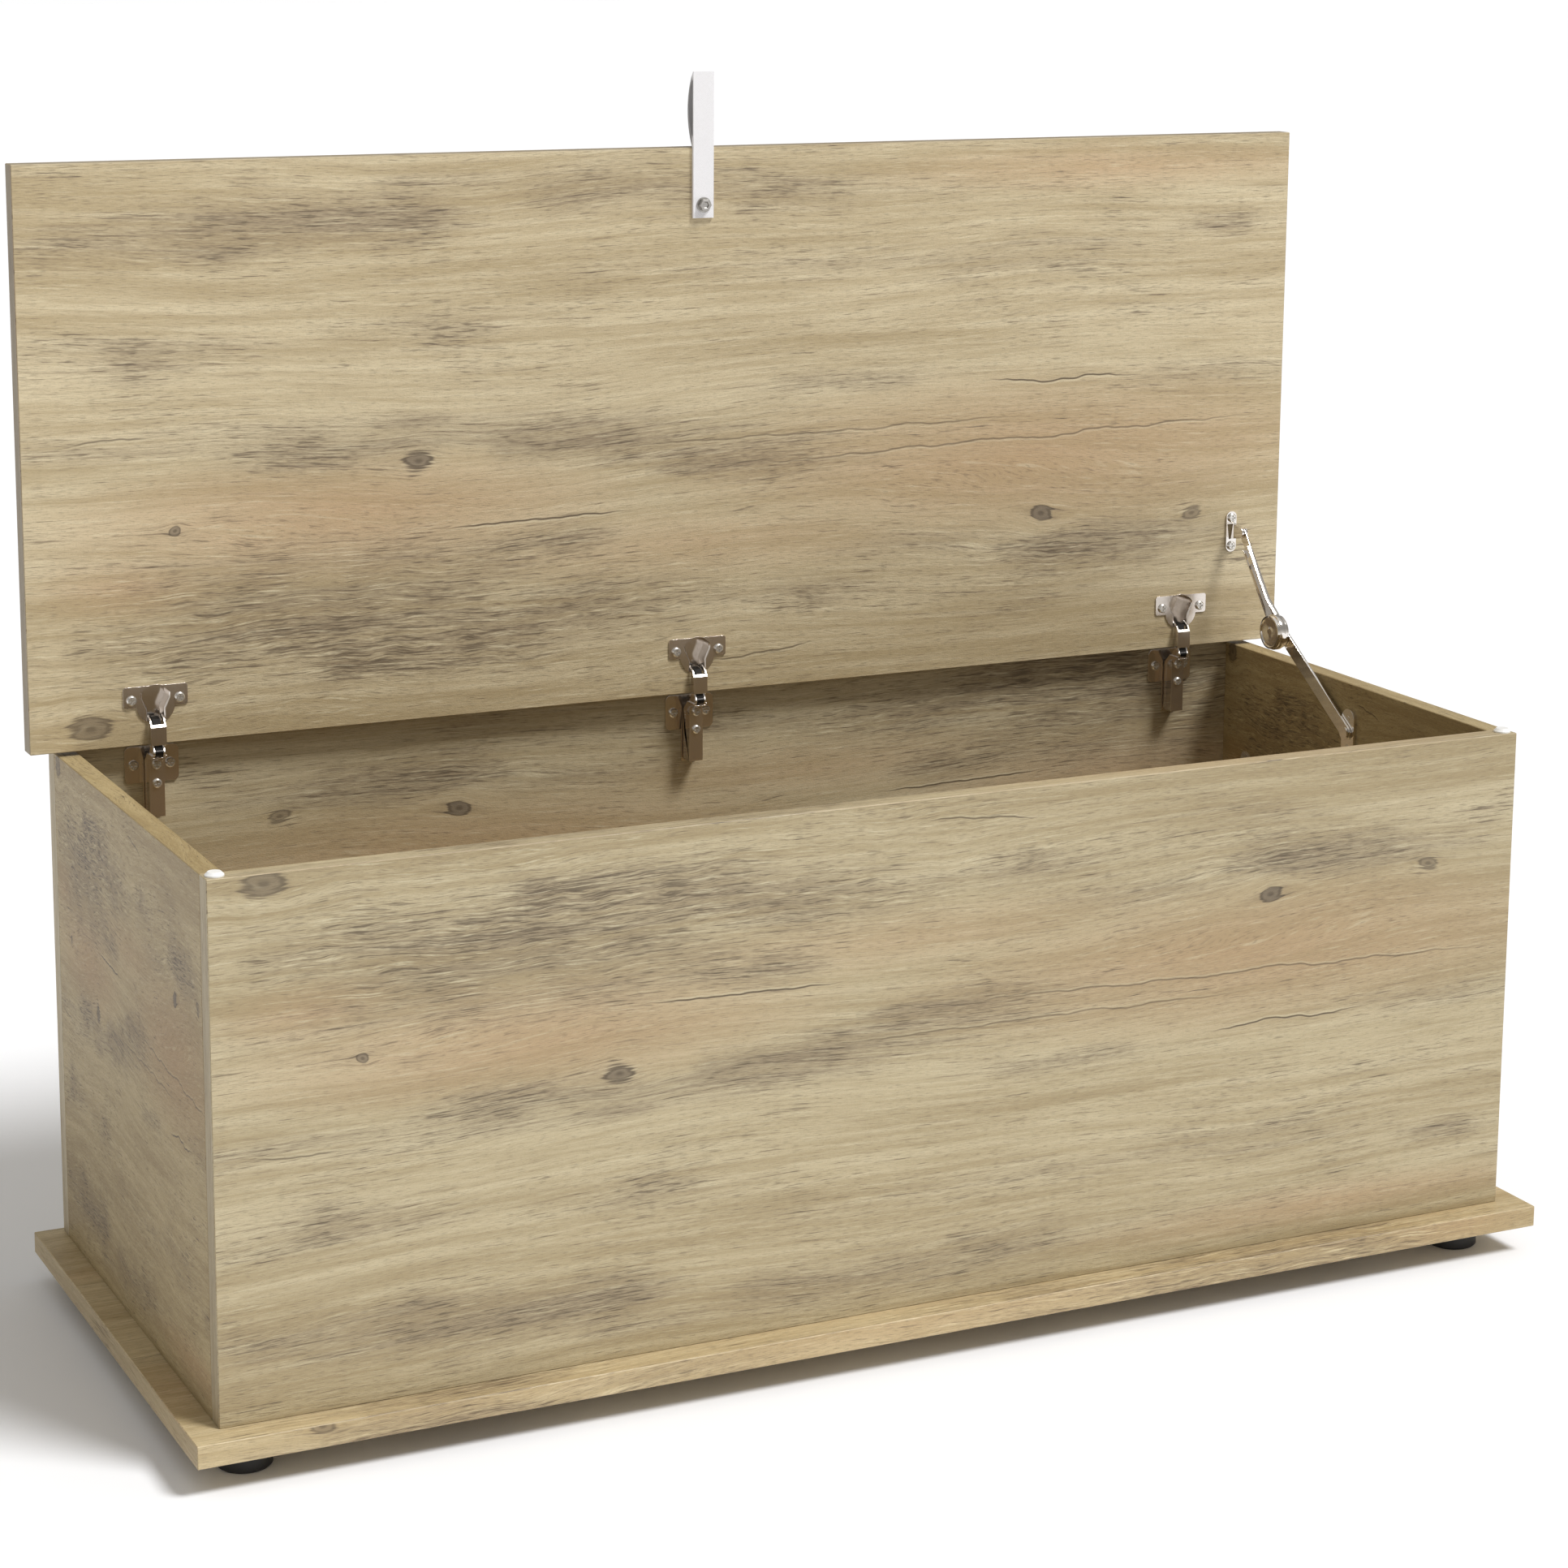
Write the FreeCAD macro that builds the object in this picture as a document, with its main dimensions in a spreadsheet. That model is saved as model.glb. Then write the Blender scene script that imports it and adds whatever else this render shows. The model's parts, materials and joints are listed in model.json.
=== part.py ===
import FreeCAD, Part
import math
import os
import re
import Sketcher
from FreeCAD import Placement, Rotation, Vector

# Storage chest with an upright, open lid. Origin at the centre of the footprint, on the floor:
# +X to the right, +Y to the back, +Z up, in millimetres.

doc = FreeCAD.newDocument("storage_chest")
dim = doc.addObject("Spreadsheet::Sheet", "dim")

boards = {
    "board": "15", "body_width": "960", "body_depth": "375", "body_height": "350",
    "front_overhang": "20", "back_overhang": "5", "lid_gap": "3",
}
fittings = {
    "foot_height": "20", "foot_radius": "18", "foot_inset": "42", "foot_edge": "1.5",
    "foot_recess_radius": "6", "foot_recess_depth": "12",
    "foot_screw_head": "4", "foot_screw_head_height": "2.5", "foot_screw_radius": "2",
    "foot_screw_bite": "12",
    "dowel_radius": "4", "dowel_face_bite": "11", "dowel_edge_bite": "22", "dowel_inset": "50",
    "cam_radius": "7.5", "cam_depth": "12.5", "cam_setback": "34", "lock_height": "90",
    "cam_bolt_radius": "3", "cam_bolt_bite": "11", "lock_slot_length": "8", "lock_slot_width": "1.2",
    "base_screw_radius": "3", "base_screw_head": "5", "base_screw_cone": "3",
    "base_screw_length": "50", "base_screw_inset": "100",
    "bumper_radius": "6", "bumper_play": "0.2", "bumper_edge": "1.8",
}
hinges = {
    "hinge_inset": "68", "hinge_middle_x": "-3.5",
    "arm_pivot_in": "3", "cup_pivot_up": "19", "cup_pivot_deep": "2",
    "hook_arm_pivot_in": "5", "hook_cup_up": "17.5", "hook_cup_deep": "4.5",
    "pin_radius": "0.9", "hook_pin_radius": "1.2", "running_play": "0.05", "side_play": "0.1",
    "cup_radius": "13.3", "cup_up": "28.4", "cup_depth": "11.5", "bore_play": "0.1",
    "rim_radius": "13.8", "pocket_radius": "12.9", "pocket_depth": "10.5",
    "flange_sheet": "1", "flange_width": "45.5", "flange_height": "15", "flange_up": "34",
    "flange_corner": "2", "neck_half": "5.9", "pocket_half": "9.5",
    "shoulder_low": "25", "shoulder_high": "33", "mouth_bevel": "0.9",
    "cup_screw_x": "17", "cup_screw_up": "32", "screw_head_radius": "3.5",
    "screw_head_height": "1.8", "screw_head_edge": "0.8", "screw_radius": "1.8",
    "screw_bite": "11", "recess_length": "4.4", "recess_width": "1.1", "recess_depth": "1",
    "link_sheet": "1.2", "link_half": "5.5", "link_front": "7", "link_start": "0.4",
    "link_back": "1.5", "link_neck": "16.9", "link_shoulder": "13", "link_nape": "4",
    "link_nape_up": "17.6", "link_arm_eye": "1.8", "link_cup_eye": "1.7",
    "hook_half": "2.7", "hook_leaf_gap": "0.1", "hook_front": "3.4", "hook_back": "0.4",
    "hook_rise": "4", "hook_bend": "14", "hook_neck_front": "1.5", "hook_neck_top": "17.9",
    "hook_arm_eye": "2.4", "hook_cup_eye": "1.2", "hook_rivet": "0.7", "hook_rivet_half": "3.6",
    "ear_inner": "2.9", "ear_arm_eye": "1.8", "arm_half": "5.4", "arm_sheet": "1.2",
    "arm_front": "14", "arm_nose": "21.4", "arm_back": "2.7",
    "arm_top": "4", "arm_nose_down": "6.4", "arm_bend_down": "8", "arm_rear_down": "11",
    "arm_shoulder_in": "10", "arm_length": "45",
    "ear_heel_in": "8", "ear_heel_down": "7", "ear_shoulder_in": "14.5",
    "ear_shoulder_up": "0.5",
    "plate_sheet": "1.5", "wing_width": "38.5", "wing_height": "26", "wing_down": "1",
    "wing_corner": "4", "tongue_width": "13", "tongue_length": "24",
    "rail_down": "14", "rail_height": "32",
    "plate_screw_x": "13", "plate_screw_down": "14",
    "notch_pitch": "2.2", "notch_width": "2.4", "notch_depth": "0.45", "notch_in": "7",
    "notch_first_down": "12",
    "high_screw_down": "11.6", "low_screw_down": "25", "arm_screw_head": "3.2",
    "arm_screw_head_height": "1.7", "arm_screw_radius": "2", "arm_screw_bite": "8",
}
stays = {
    "stay_side_y": "4", "stay_side_down": "37", "hub_y": "96", "hub_up": "24",
    "stay_lid_height": "90", "stay_lid_out": "15",
    "side_bracket_sheet": "2.5", "side_bracket_half": "8", "side_bracket_reach": "18",
    "side_screw_reach": "11",
    "stay_play": "0.2", "strip_sheet": "2", "strip_half": "5.5", "strip_hub_radius": "9",
    "stay_pin_radius": "3", "stay_pin_head": "4.8", "stay_pin_head_height": "1.6",
    "hub_gap": "0.3", "hub_radius": "13.75", "friction_sheet": "1", "friction_radius": "12.6",
    "wave_sheet": "0.6", "wave_radius": "13.2", "housing_depth": "5.2", "housing_edge": "1",
    "cap_depth": "2", "cap_ring": "2.2", "cap_floor": "0.8", "hub_rivet_radius": "2.6",
    "hub_rivet_head": "4.4", "hub_rivet_rise": "0.6",
    "channel_sheet": "1.2", "channel_half": "4", "channel_depth": "4",
    "channel_start": "14", "catch_reach": "22", "catch_length": "6", "catch_height": "2.2",
    "flare_reach": "27", "flare_foot": "10", "flare_width": "8.6",
    "lid_pin_radius": "2.5", "lid_pin_head": "4", "lid_pin_head_height": "1.2",
    "lid_bracket_width": "9", "lid_bracket_low": "73", "lid_bracket_high": "105",
    "lid_bracket_sheet": "1.5", "lid_ear_sheet": "2.4", "lid_ear_radius": "4.2",
    "lid_ear_foot": "7", "lid_screw_low": "77.7", "lid_screw_high": "100",
    "wedge_narrow": "0.9", "wedge_wide": "2.6", "wedge_low": "83", "wedge_high": "95",
}
straps = {
    "strap_width": "16", "strap_sheet": "1.2", "strap_end": "50.5", "strap_loop": "54",
    "strap_split": "6", "strap_swell": "7.4", "strap_tip": "4",
    "strap_bolt_in": "41", "strap_bolt_radius": "2.5", "strap_bolt_bite": "8",
    "strap_bolt_head": "4.6", "strap_bolt_head_height": "3.5",
    "washer_radius": "5.5", "washer_sheet": "1",
    "insert_radius": "3.9", "insert_length": "11",
}
making = {"overrun": "2", "arris": "0.5"}

# Places that follow from the sizes. Open, the lid stands on its rear edge just inside the back
# panel; deep is into the lid's thickness from its inner face and up is from its rear edge.
derived = {
    "half_width": "body_width / 2",
    "half_base": "half_width + front_overhang",
    "half_depth": "(body_depth + front_overhang + back_overhang) / 2",
    "front_face": "front_overhang - half_depth",
    "back_face": "half_depth - back_overhang",
    "front_inside": "front_face + board",
    "back_inside": "back_face - board",
    "side_inside": "half_width - board",
    "side_middle": "half_width - board / 2",
    "hinge_side_x": "half_width - hinge_inset",
    "base_screw_x": "half_width - base_screw_inset",
    "floor_top": "foot_height + board",
    "rim": "floor_top + body_height",
    "lid_bottom": "rim + lid_gap",
    "lid_face": "back_inside - board",
    "lid_reach": "2 * half_depth",
    "lid_top": "lid_bottom + lid_reach",
    "cup_pivot_y": "lid_face + cup_pivot_deep",
    "cup_pivot_z": "lid_bottom + cup_pivot_up",
    "arm_pivot_y": "lid_face - arm_pivot_in",
    "arm_pivot_z": "(cup_pivot_z + lid_bottom + cup_pivot_deep) / 2"
                   " - (arm_pivot_y - (cup_pivot_y + half_depth - cup_pivot_up) / 2)"
                   " * (half_depth - cup_pivot_up - cup_pivot_y)"
                   " / (lid_bottom + cup_pivot_deep - cup_pivot_z)",
    "hook_cup_y": "lid_face + hook_cup_deep",
    "hook_cup_z": "lid_bottom + hook_cup_up",
    "hook_arm_y": "lid_face - hook_arm_pivot_in",
    "hook_arm_z": "(hook_cup_z + lid_bottom + hook_cup_deep) / 2"
                  " - (hook_arm_y - (hook_cup_y + half_depth - hook_cup_up) / 2)"
                  " * (half_depth - hook_cup_up - hook_cup_y)"
                  " / (lid_bottom + hook_cup_deep - hook_cup_z)",
    "link_inner": "link_half - link_sheet",
    "arm_inner": "link_inner - side_play",
    "arm_face": "back_inside - arm_front",
    "plate_face": "back_inside - plate_sheet",
    "cup_z": "lid_bottom + cup_up",
    "stay_side_z": "rim - stay_side_down",
    "hub_z": "rim + hub_up",
    "stay_lid_y": "lid_face - stay_lid_out",
    "stay_lid_z": "lid_bottom + stay_lid_height",
    "side_bracket_x": "side_inside - side_bracket_sheet",
    "strip_x": "side_bracket_x - stay_play - strip_sheet",
    "friction_x": "strip_x - hub_gap - friction_sheet",
    "channel_x": "friction_x - channel_sheet",
    "wave_x": "channel_x - wave_sheet",
    "housing_x": "wave_x - housing_depth",
    "lid_ear_x": "channel_x - stay_play - lid_ear_sheet",
    "lid_bracket_mid": "lid_ear_x + lid_ear_sheet / 2",
    "strap_face": "lid_face - 2 * strap_sheet",
    "strap_middle": "lid_face - strap_sheet",
    "strap_bolt_z": "lid_top - strap_bolt_in",
    "strap_top": "lid_top + strap_loop",
}


def in_sheet(text):
    """Point the names in a formula at the sheet's cells."""
    return re.sub(r"[a-z]\w*", lambda word: "dim." + word[0] if word[0] in known else word[0], text)


known = set()
for group in (boards, fittings, hinges, stays, straps, making):
    for name, value in group.items():
        known.add(name)
        dim.set("A%d" % len(known), name)
        dim.set("B%d" % len(known), value)
        dim.setAlias("B%d" % len(known), name)
for name, formula in derived.items():
    known.add(name)
    dim.set("A%d" % len(known), name)
    dim.set("B%d" % len(known), "=" + formula)
    dim.setAlias("B%d" % len(known), name)
doc.recompute()


def number(text):
    """Read a formula's value now."""
    return float(dim.evalExpression(in_sheet(str(text))))


def tie(thing, property_name, text):
    """Bind one property to a formula of the sheet."""
    thing.setExpression(property_name, in_sheet(str(text)))


def tie_place(thing, place):
    """Bind a thing's base point to three formulas."""
    for axis, text in zip("xyz", place):
        tie(thing, "Placement.Base." + axis, text)


def box(name, x_range, y_range, z_range):
    """A block between two formulas on each axis."""
    block = doc.addObject("Part::Box", name)
    for side, (low, high) in zip(("Length", "Width", "Height"), (x_range, y_range, z_range)):
        tie(block, side, "(%s) - (%s)" % (high, low))
    tie_place(block, (x_range[0], y_range[0], z_range[0]))
    return block


along = {
    "x": Rotation(Vector(0, 1, 0), 90),
    "y": Rotation(Vector(1, 0, 0), -90),
    "z": Rotation(),
}


def rod(name, axis, radius, low, high, centre):
    """A cylinder along an axis; centre gives its other two coordinates in order."""
    bar = doc.addObject("Part::Cylinder", name)
    bar.Placement = Placement(Vector(), along[axis])
    tie(bar, "Radius", radius)
    tie(bar, "Height", "(%s) - (%s)" % (high, low))
    place = list(centre)
    place.insert("xyz".index(axis), low)
    tie_place(bar, place)
    return bar


def draw(sketch, outline):
    """Draw a closed outline of bound points; a third item is the radius of an arc to the next."""
    spots = [Vector(number(point[0]), number(point[1]), 0) for point in outline]
    for index, point in enumerate(outline):
        start = spots[index]
        stop = spots[(index + 1) % len(spots)]
        if len(point) == 2:
            sketch.addGeometry(Part.LineSegment(start, stop), False)
            continue
        chord = stop - start
        radius = number(point[2])
        lift = math.sqrt(radius ** 2 - (chord.Length / 2) ** 2)
        centre = (start + stop) / 2 + Vector(-chord.y, chord.x, 0).normalize() * lift
        first = math.atan2(start.y - centre.y, start.x - centre.x)
        last = math.atan2(stop.y - centre.y, stop.x - centre.x)
        circle = Part.Circle(centre, Vector(0, 0, 1), radius)
        sketch.addGeometry(Part.ArcOfCircle(circle, first, last), False)
        bound = sketch.addConstraint(Sketcher.Constraint("Radius", index, radius))
        tie(sketch, "Constraints[%d]" % bound, point[2])
    for index, point in enumerate(outline):
        after = (index + 1) % len(outline)
        sketch.addConstraint(Sketcher.Constraint("Coincident", index, 2, after, 1))
        for kind, text, value in zip(("DistanceX", "DistanceY"), point, spots[index]):
            bound = sketch.addConstraint(Sketcher.Constraint(kind, -1, 1, index, 1, value))
            tie(sketch, "Constraints[%d]" % bound, text)


# A sketch's two axes and its normal: a profile across X lies in Y and Z, and so on.
facing = {
    "x": Rotation(Vector(0, 1, 0), Vector(0, 0, 1), Vector(1, 0, 0), "XYZ"),
    "y": Rotation(Vector(1, 0, 0), Vector(0, 0, 1), Vector(0, -1, 0), "XYZ"),
    "z": Rotation(),
}


def prism(name, axis, outline, low, high):
    """An outline in the plane across an axis, drawn out from low to high."""
    sketch = doc.addObject("Sketcher::SketchObject", name + "_outline")
    draw(sketch, outline)
    sketch.Placement = Placement(Vector(), facing[axis])
    tie(sketch, "Placement.Base." + axis, high if axis == "y" else low)
    solid = doc.addObject("Part::Extrusion", name)
    solid.Base = sketch
    solid.DirMode = "Normal"
    solid.Solid = True
    tie(solid, "LengthFwd", "(%s) - (%s)" % (high, low))
    return solid


def lofted(name, outlines, levels):
    """Two outlines in planes across Y, joined by straight sloping walls."""
    sections = []
    for index, (outline, level) in enumerate(zip(outlines, levels)):
        sketch = doc.addObject("Sketcher::SketchObject", "%s_outline%d" % (name, index))
        draw(sketch, outline)
        sketch.Placement = Placement(Vector(), facing["y"])
        tie(sketch, "Placement.Base.y", level)
        sections.append(sketch)
    solid = doc.addObject("Part::Loft", name)
    solid.Sections = sections
    solid.Solid = True
    solid.Ruled = True
    return solid


# The plane of a turned outline: radius first, then the distance along the axis.
lathe = {
    "x": (Rotation(Vector(0, 1, 0), Vector(1, 0, 0), Vector(0, 0, -1), "XYZ"), Vector(1, 0, 0)),
    "y": (Rotation(), Vector(0, 1, 0)),
    "z": (Rotation(Vector(1, 0, 0), Vector(0, 0, 1), Vector(0, -1, 0), "XYZ"), Vector(0, 0, 1)),
}


def turned(name, axis, outline, place):
    """An outline of (radius, along) turned about an axis through a place."""
    turn, direction = lathe[axis]
    sketch = doc.addObject("Sketcher::SketchObject", name + "_outline")
    draw(sketch, outline)
    sketch.Placement = Placement(Vector(), turn)
    solid = doc.addObject("Part::Revolution", name)
    solid.Source = sketch
    solid.Axis = direction
    solid.Base = Vector()
    solid.Angle = 360
    solid.Solid = True
    tie_place(solid, place)
    return solid


def cut(name, base, *tools):
    """Take each tool from the base in turn."""
    for index, tool in enumerate(tools):
        result = doc.addObject("Part::Cut", name if tool is tools[-1] else name + "_cut%d" % index)
        result.Base = base
        result.Tool = tool
        base = result
    return base


def fuse(name, *solids):
    """Join solids into one."""
    result = doc.addObject("Part::MultiFuse", name)
    result.Shapes = list(solids)
    return result


def common(name, first, second):
    """What two solids share."""
    result = doc.addObject("Part::Common", name)
    result.Base = first
    result.Tool = second
    return result


def group_of(name, solids):
    """Separate solids kept together."""
    result = doc.addObject("Part::Compound", name)
    result.Links = list(solids)
    return result


square_share = 0.001


def rounded(name, base, axis, radius):
    """Round the straight edges that run along an axis."""
    doc.recompute()
    direction = Vector(*[float(axis == letter) for letter in "xyz"])
    size = number(radius)
    edges = []
    for index, edge in enumerate(base.Shape.Edges):
        if edge.Curve.TypeId != "Part::GeomLine":
            continue
        if direction.isParallel(edge.tangentAt(edge.FirstParameter), square_share):
            edges.append((index + 1, size, size))
    result = doc.addObject("Part::Fillet", name)
    result.Base = base
    result.Edges = edges
    return result


def eased(name, board):
    """Take the sharp arris off every edge of a board."""
    doc.recompute()
    size = number("arris")
    result = doc.addObject("Part::Chamfer", name)
    result.Base = board
    result.Edges = [(index + 1, size, size) for index in range(len(board.Shape.Edges))]
    return result


nodes = []


def node(label, thing):
    """Name a finished sub-part."""
    thing.Label = label
    nodes.append(thing)
    return thing


def blank(name, x_range, y_range, z_range, plane):
    """A board: a padded rectangle drawn on one of its own body's planes."""
    body = doc.addObject("PartDesign::Body", name)
    support = [item for item in body.Origin.OriginFeatures if item.Role == plane + "_Plane"][0]
    sketch = body.newObject("Sketcher::SketchObject", name + "_face")
    sketch.AttachmentSupport = (support, [""])
    sketch.MapMode = "FlatFace"
    ranges = {"X": x_range, "Y": y_range, "Z": z_range}
    across, up = ranges[plane[0]], ranges[plane[1]]
    wide = "(%s) - (%s)" % (across[1], across[0])
    tall = "(%s) - (%s)" % (up[1], up[0])
    draw(sketch, [("0", "0"), (wide, "0"), (wide, tall), ("0", tall)])
    thick_axis = [letter for letter in "XYZ" if letter not in plane][0]
    low, high = ranges[thick_axis]
    pad = body.newObject("PartDesign::Pad", name + "_pad")
    pad.Profile = sketch
    pad.Reversed = plane == "XZ"
    tie(pad, "Length", "(%s) - (%s)" % (high, low))
    tie_place(body, (x_range[0], y_range[0], z_range[0]))
    return eased(name + "_eased", body)


def screw(name, axis, place, head, head_height, edge, shank, bite, crossed=True):
    """A pan-head screw: its shank runs from the place along the axis, its head stands before it."""
    outline = [
        ("0", "-(%s)" % head_height), ("%s - %s" % (head, edge), "-(%s)" % head_height),
        (head, "%s - (%s)" % (edge, head_height)), (head, "0"), (shank, "0"),
        (shank, bite), ("0", bite),
    ]
    if not crossed:
        return turned(name, axis, outline, place)
    top = "%s - %s" % (place["xyz".index(axis)], head_height)
    bars = []
    for turn, sizes in enumerate((("recess_length", "recess_width"), ("recess_width", "recess_length"))):
        ranges, left = [], list(sizes)
        for letter, middle in zip("xyz", place):
            if letter == axis:
                ranges.append(("%s - recess_depth" % top, "%s + recess_depth" % top))
            else:
                size = left.pop(0)
                ranges.append(("%s - %s / 2" % (middle, size), "%s + %s / 2" % (middle, size)))
        bars.append(box("%s_recess_%d" % (name, turn), *ranges))
    return cut(name, turned(name + "_blank", axis, outline, place), fuse(name + "_recess", *bars))


sides = (("left", "-"), ("right", ""))
ends = (("front", "front_inside", ""), ("back", "back_inside", "-"))


def corner_fasteners():
    """Dowels, cam locks and their bolts that hold the side panels between front and back."""
    dowels, cams, bolts, bores = [], [], [], []
    for side, sign in sides:
        middle = sign + "side_middle"
        inside = (sign + "side_inside", "%s(side_inside + cam_depth)" % sign)
        if sign:
            inside = inside[::-1]
        for end, face, inward in ends:
            out, back = ("-", "+") if end == "front" else ("+", "-")
            for level, height in (("low", "floor_top + %s"), ("high", "rim - %s")):
                spot = "%s_%s_%s" % (side, end, level)
                reach = ["%s %s dowel_face_bite" % (face, out), "%s %s dowel_edge_bite" % (face, back)]
                run = ["%s %s cam_bolt_bite" % (face, out), "%s %s cam_setback" % (face, back)]
                if end == "back":
                    reach.reverse()
                    run.reverse()
                centre = (middle, height % "dowel_inset")
                dowels.append(rod("dowel_" + spot, "y", "dowel_radius", reach[0], reach[1], centre))
                centre = (middle, height % "lock_height")
                bolt = rod("cam_bolt_" + spot, "y", "cam_bolt_radius", run[0], run[1], centre)
                bolts.append(bolt)
                lock_y = "%s %s cam_setback" % (face, back)
                lock_z = height % "lock_height"
                lock = rod("cam_" + spot, "x", "cam_radius", inside[0], inside[1], (lock_y, lock_z))
                bores.append(lock)
                slot = cam_slot("cam_slot_" + spot, sign, lock_y, lock_z)
                cams.append(cut("cam_lock_" + spot, lock, bolt, slot))
    return (group_of("corner_dowels", dowels), group_of("cam_locks", cams), group_of("cam_bolts", bolts),
            group_of("cam_bores", bores))


def cam_slot(name, sign, y, z):
    """The cross in a cam lock's face that a screwdriver turns."""
    depth = ["%s(side_inside - lock_slot_width)" % sign, "%s(side_inside + lock_slot_width)" % sign]
    if sign:
        depth.reverse()
    bars = []
    for turn, (wide, tall) in enumerate((("lock_slot_length", "lock_slot_width"),
                                         ("lock_slot_width", "lock_slot_length"))):
        y_range = ("%s - %s / 2" % (y, wide), "%s + %s / 2" % (y, wide))
        z_range = ("%s - %s / 2" % (z, tall), "%s + %s / 2" % (z, tall))
        bars.append(box("%s_%d" % (name, turn), depth, y_range, z_range))
    return fuse(name, *bars)


def base_screws():
    """Countersunk screws up through the base into the four panels' lower edges."""
    outline = [
        ("0", "0"), ("base_screw_head", "0"), ("base_screw_radius", "base_screw_cone"),
        ("base_screw_radius", "base_screw_length"), ("0", "base_screw_length"),
    ]
    spots = [("%sside_middle" % sign, "(front_face + back_face) / 2") for side, sign in sides]
    for row in ("front_face + board / 2", "back_face - board / 2"):
        for across in ("-base_screw_x", "0", "base_screw_x"):
            spots.append((across, row))
    screws = []
    for index, (x, y) in enumerate(spots):
        screws.append(turned("base_screw_%d" % index, "z", outline, (x, y, "foot_height")))
    return group_of("base_screws", screws)


def feet():
    """Four round feet under the base, each with a screw up its recess."""
    foot_outline = [
        ("foot_recess_radius", "0"), ("foot_radius - foot_edge", "0"), ("foot_radius", "foot_edge"),
        ("foot_radius", "foot_height"), ("0", "foot_height"), ("0", "foot_recess_depth"),
        ("foot_recess_radius", "foot_recess_depth"),
    ]
    made, screws = [], []
    for end, across in (("front", "-"), ("back", "")):
        for side, sign in sides:
            x = "%s(half_base - foot_inset)" % sign
            y = "%s(half_depth - foot_inset)" % across
            name = "foot_%s_%s" % (end, side)
            fixing = screw("%s_screw" % name, "z", (x, y, "foot_recess_depth"), "foot_screw_head",
                           "foot_screw_head_height", "screw_head_edge", "foot_screw_radius",
                           "foot_height - foot_recess_depth + foot_screw_bite")
            body = turned(name + "_blank", "z", foot_outline, (x, y, "0"))
            made.append((name, cut(name, body, fixing)))
            screws.append(fixing)
    return made, group_of("foot_screws", screws)


def wall(deep, up):
    """A point on the open lid, in Y and Z: into its thickness, and up from its rear edge."""
    return "lid_face + (%s)" % deep, "lid_bottom + (%s)" % up


def hinge_cup(name, x, pins):
    """The cup in the lid: body, rim and flange round a stepped pocket with a narrow neck."""
    face = "lid_face"
    shell = rod(name + "_shell", "y", "cup_radius", face, "lid_face + cup_depth", (x, "cup_z"))
    rim = rod(name + "_rim", "y", "rim_radius", "lid_face - flange_sheet", face, (x, "cup_z"))
    flange = box(name + "_flange", ("%s - flange_width / 2" % x, "%s + flange_width / 2" % x),
                 ("lid_face - flange_sheet", face),
                 ("lid_bottom + flange_up - flange_height / 2", "lid_bottom + flange_up + flange_height / 2"))
    flange = rounded(name + "_flange_rounded", flange, "y", "flange_corner")
    top = "lid_bottom + cup_up + cup_radius"
    outlines = []
    for bevel in ("0", "mouth_bevel"):
        goblet = []
        for sign in ("-", "+"):
            half = [
                ("%s %s (neck_half + %s)" % (x, sign, bevel), "cup_z - cup_radius"),
                ("%s %s (neck_half + %s)" % (x, sign, bevel), "lid_bottom + shoulder_low"),
                ("%s %s (pocket_half + %s)" % (x, sign, bevel), "lid_bottom + shoulder_high"),
                ("%s %s (pocket_half + %s)" % (x, sign, bevel), top),
            ]
            goblet += half[::-1] if sign == "-" else half
        outlines.append(goblet)
    goblet = outlines[0]
    hollow = prism(name + "_goblet", "y", goblet, "lid_face - flange_sheet - overrun",
                   "lid_face + pocket_depth")
    bevel = lofted(name + "_bevel", outlines[::-1],
                   ("lid_face - flange_sheet", "lid_face - flange_sheet + mouth_bevel"))
    bore = rod(name + "_bore", "y", "pocket_radius", "lid_face - flange_sheet - overrun",
               "lid_face + pocket_depth", (x, "cup_z"))
    pocket = common(name + "_pocket", fuse(name + "_hollow", hollow, bevel), bore)
    mouth = box(name + "_mouth", ("%s - neck_half" % x, "%s + neck_half" % x),
                ("lid_face - flange_sheet - overrun", face),
                ("cup_z - rim_radius - overrun", "lid_bottom + shoulder_low"))
    whole = fuse(name + "_whole", shell, rim, flange)
    return cut(name, whole, pocket, mouth, pins)


def hinge_link(name, x):
    """The outer link: a folded channel that runs from the arm's nose into the cup's neck."""
    outline = [
        wall("-link_front", "link_start"), wall("-link_back", "link_start"),
        wall("-link_back", "link_neck"), ("cup_pivot_y", "cup_pivot_z - link_cup_eye"),
        ("cup_pivot_y", "cup_pivot_z + link_cup_eye"), wall("-link_nape", "link_nape_up"),
        wall("-link_front", "link_shoulder"),
    ]
    wide = ("%s - link_half" % x, "%s + link_half" % x)
    cheeks = prism(name + "_cheeks", "x", outline, *wide)
    arm_eye = rod(name + "_arm_eye", "x", "link_arm_eye", wide[0], wide[1], ("arm_pivot_y", "arm_pivot_z"))
    cup_eye = rod(name + "_cup_eye", "x", "link_cup_eye", wide[0], wide[1], ("cup_pivot_y", "cup_pivot_z"))
    inside = box(name + "_inside", ("%s - link_inner" % x, "%s + link_inner" % x),
                 ("lid_face - link_front + link_sheet", "lid_face + cup_depth"),
                 ("lid_bottom - cup_up", "lid_bottom + 2 * cup_up"))
    arm_hole = rod(name + "_arm_hole", "x", "pin_radius + running_play", wide[0], wide[1],
                   ("arm_pivot_y", "arm_pivot_z"))
    cup_hole = rod(name + "_cup_hole", "x", "pin_radius + running_play", wide[0], wide[1],
                   ("cup_pivot_y", "cup_pivot_z"))
    return cut(name, fuse(name + "_blank", cheeks, arm_eye, cup_eye), inside, arm_hole, cup_hole)


leaf_count = 4


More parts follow.
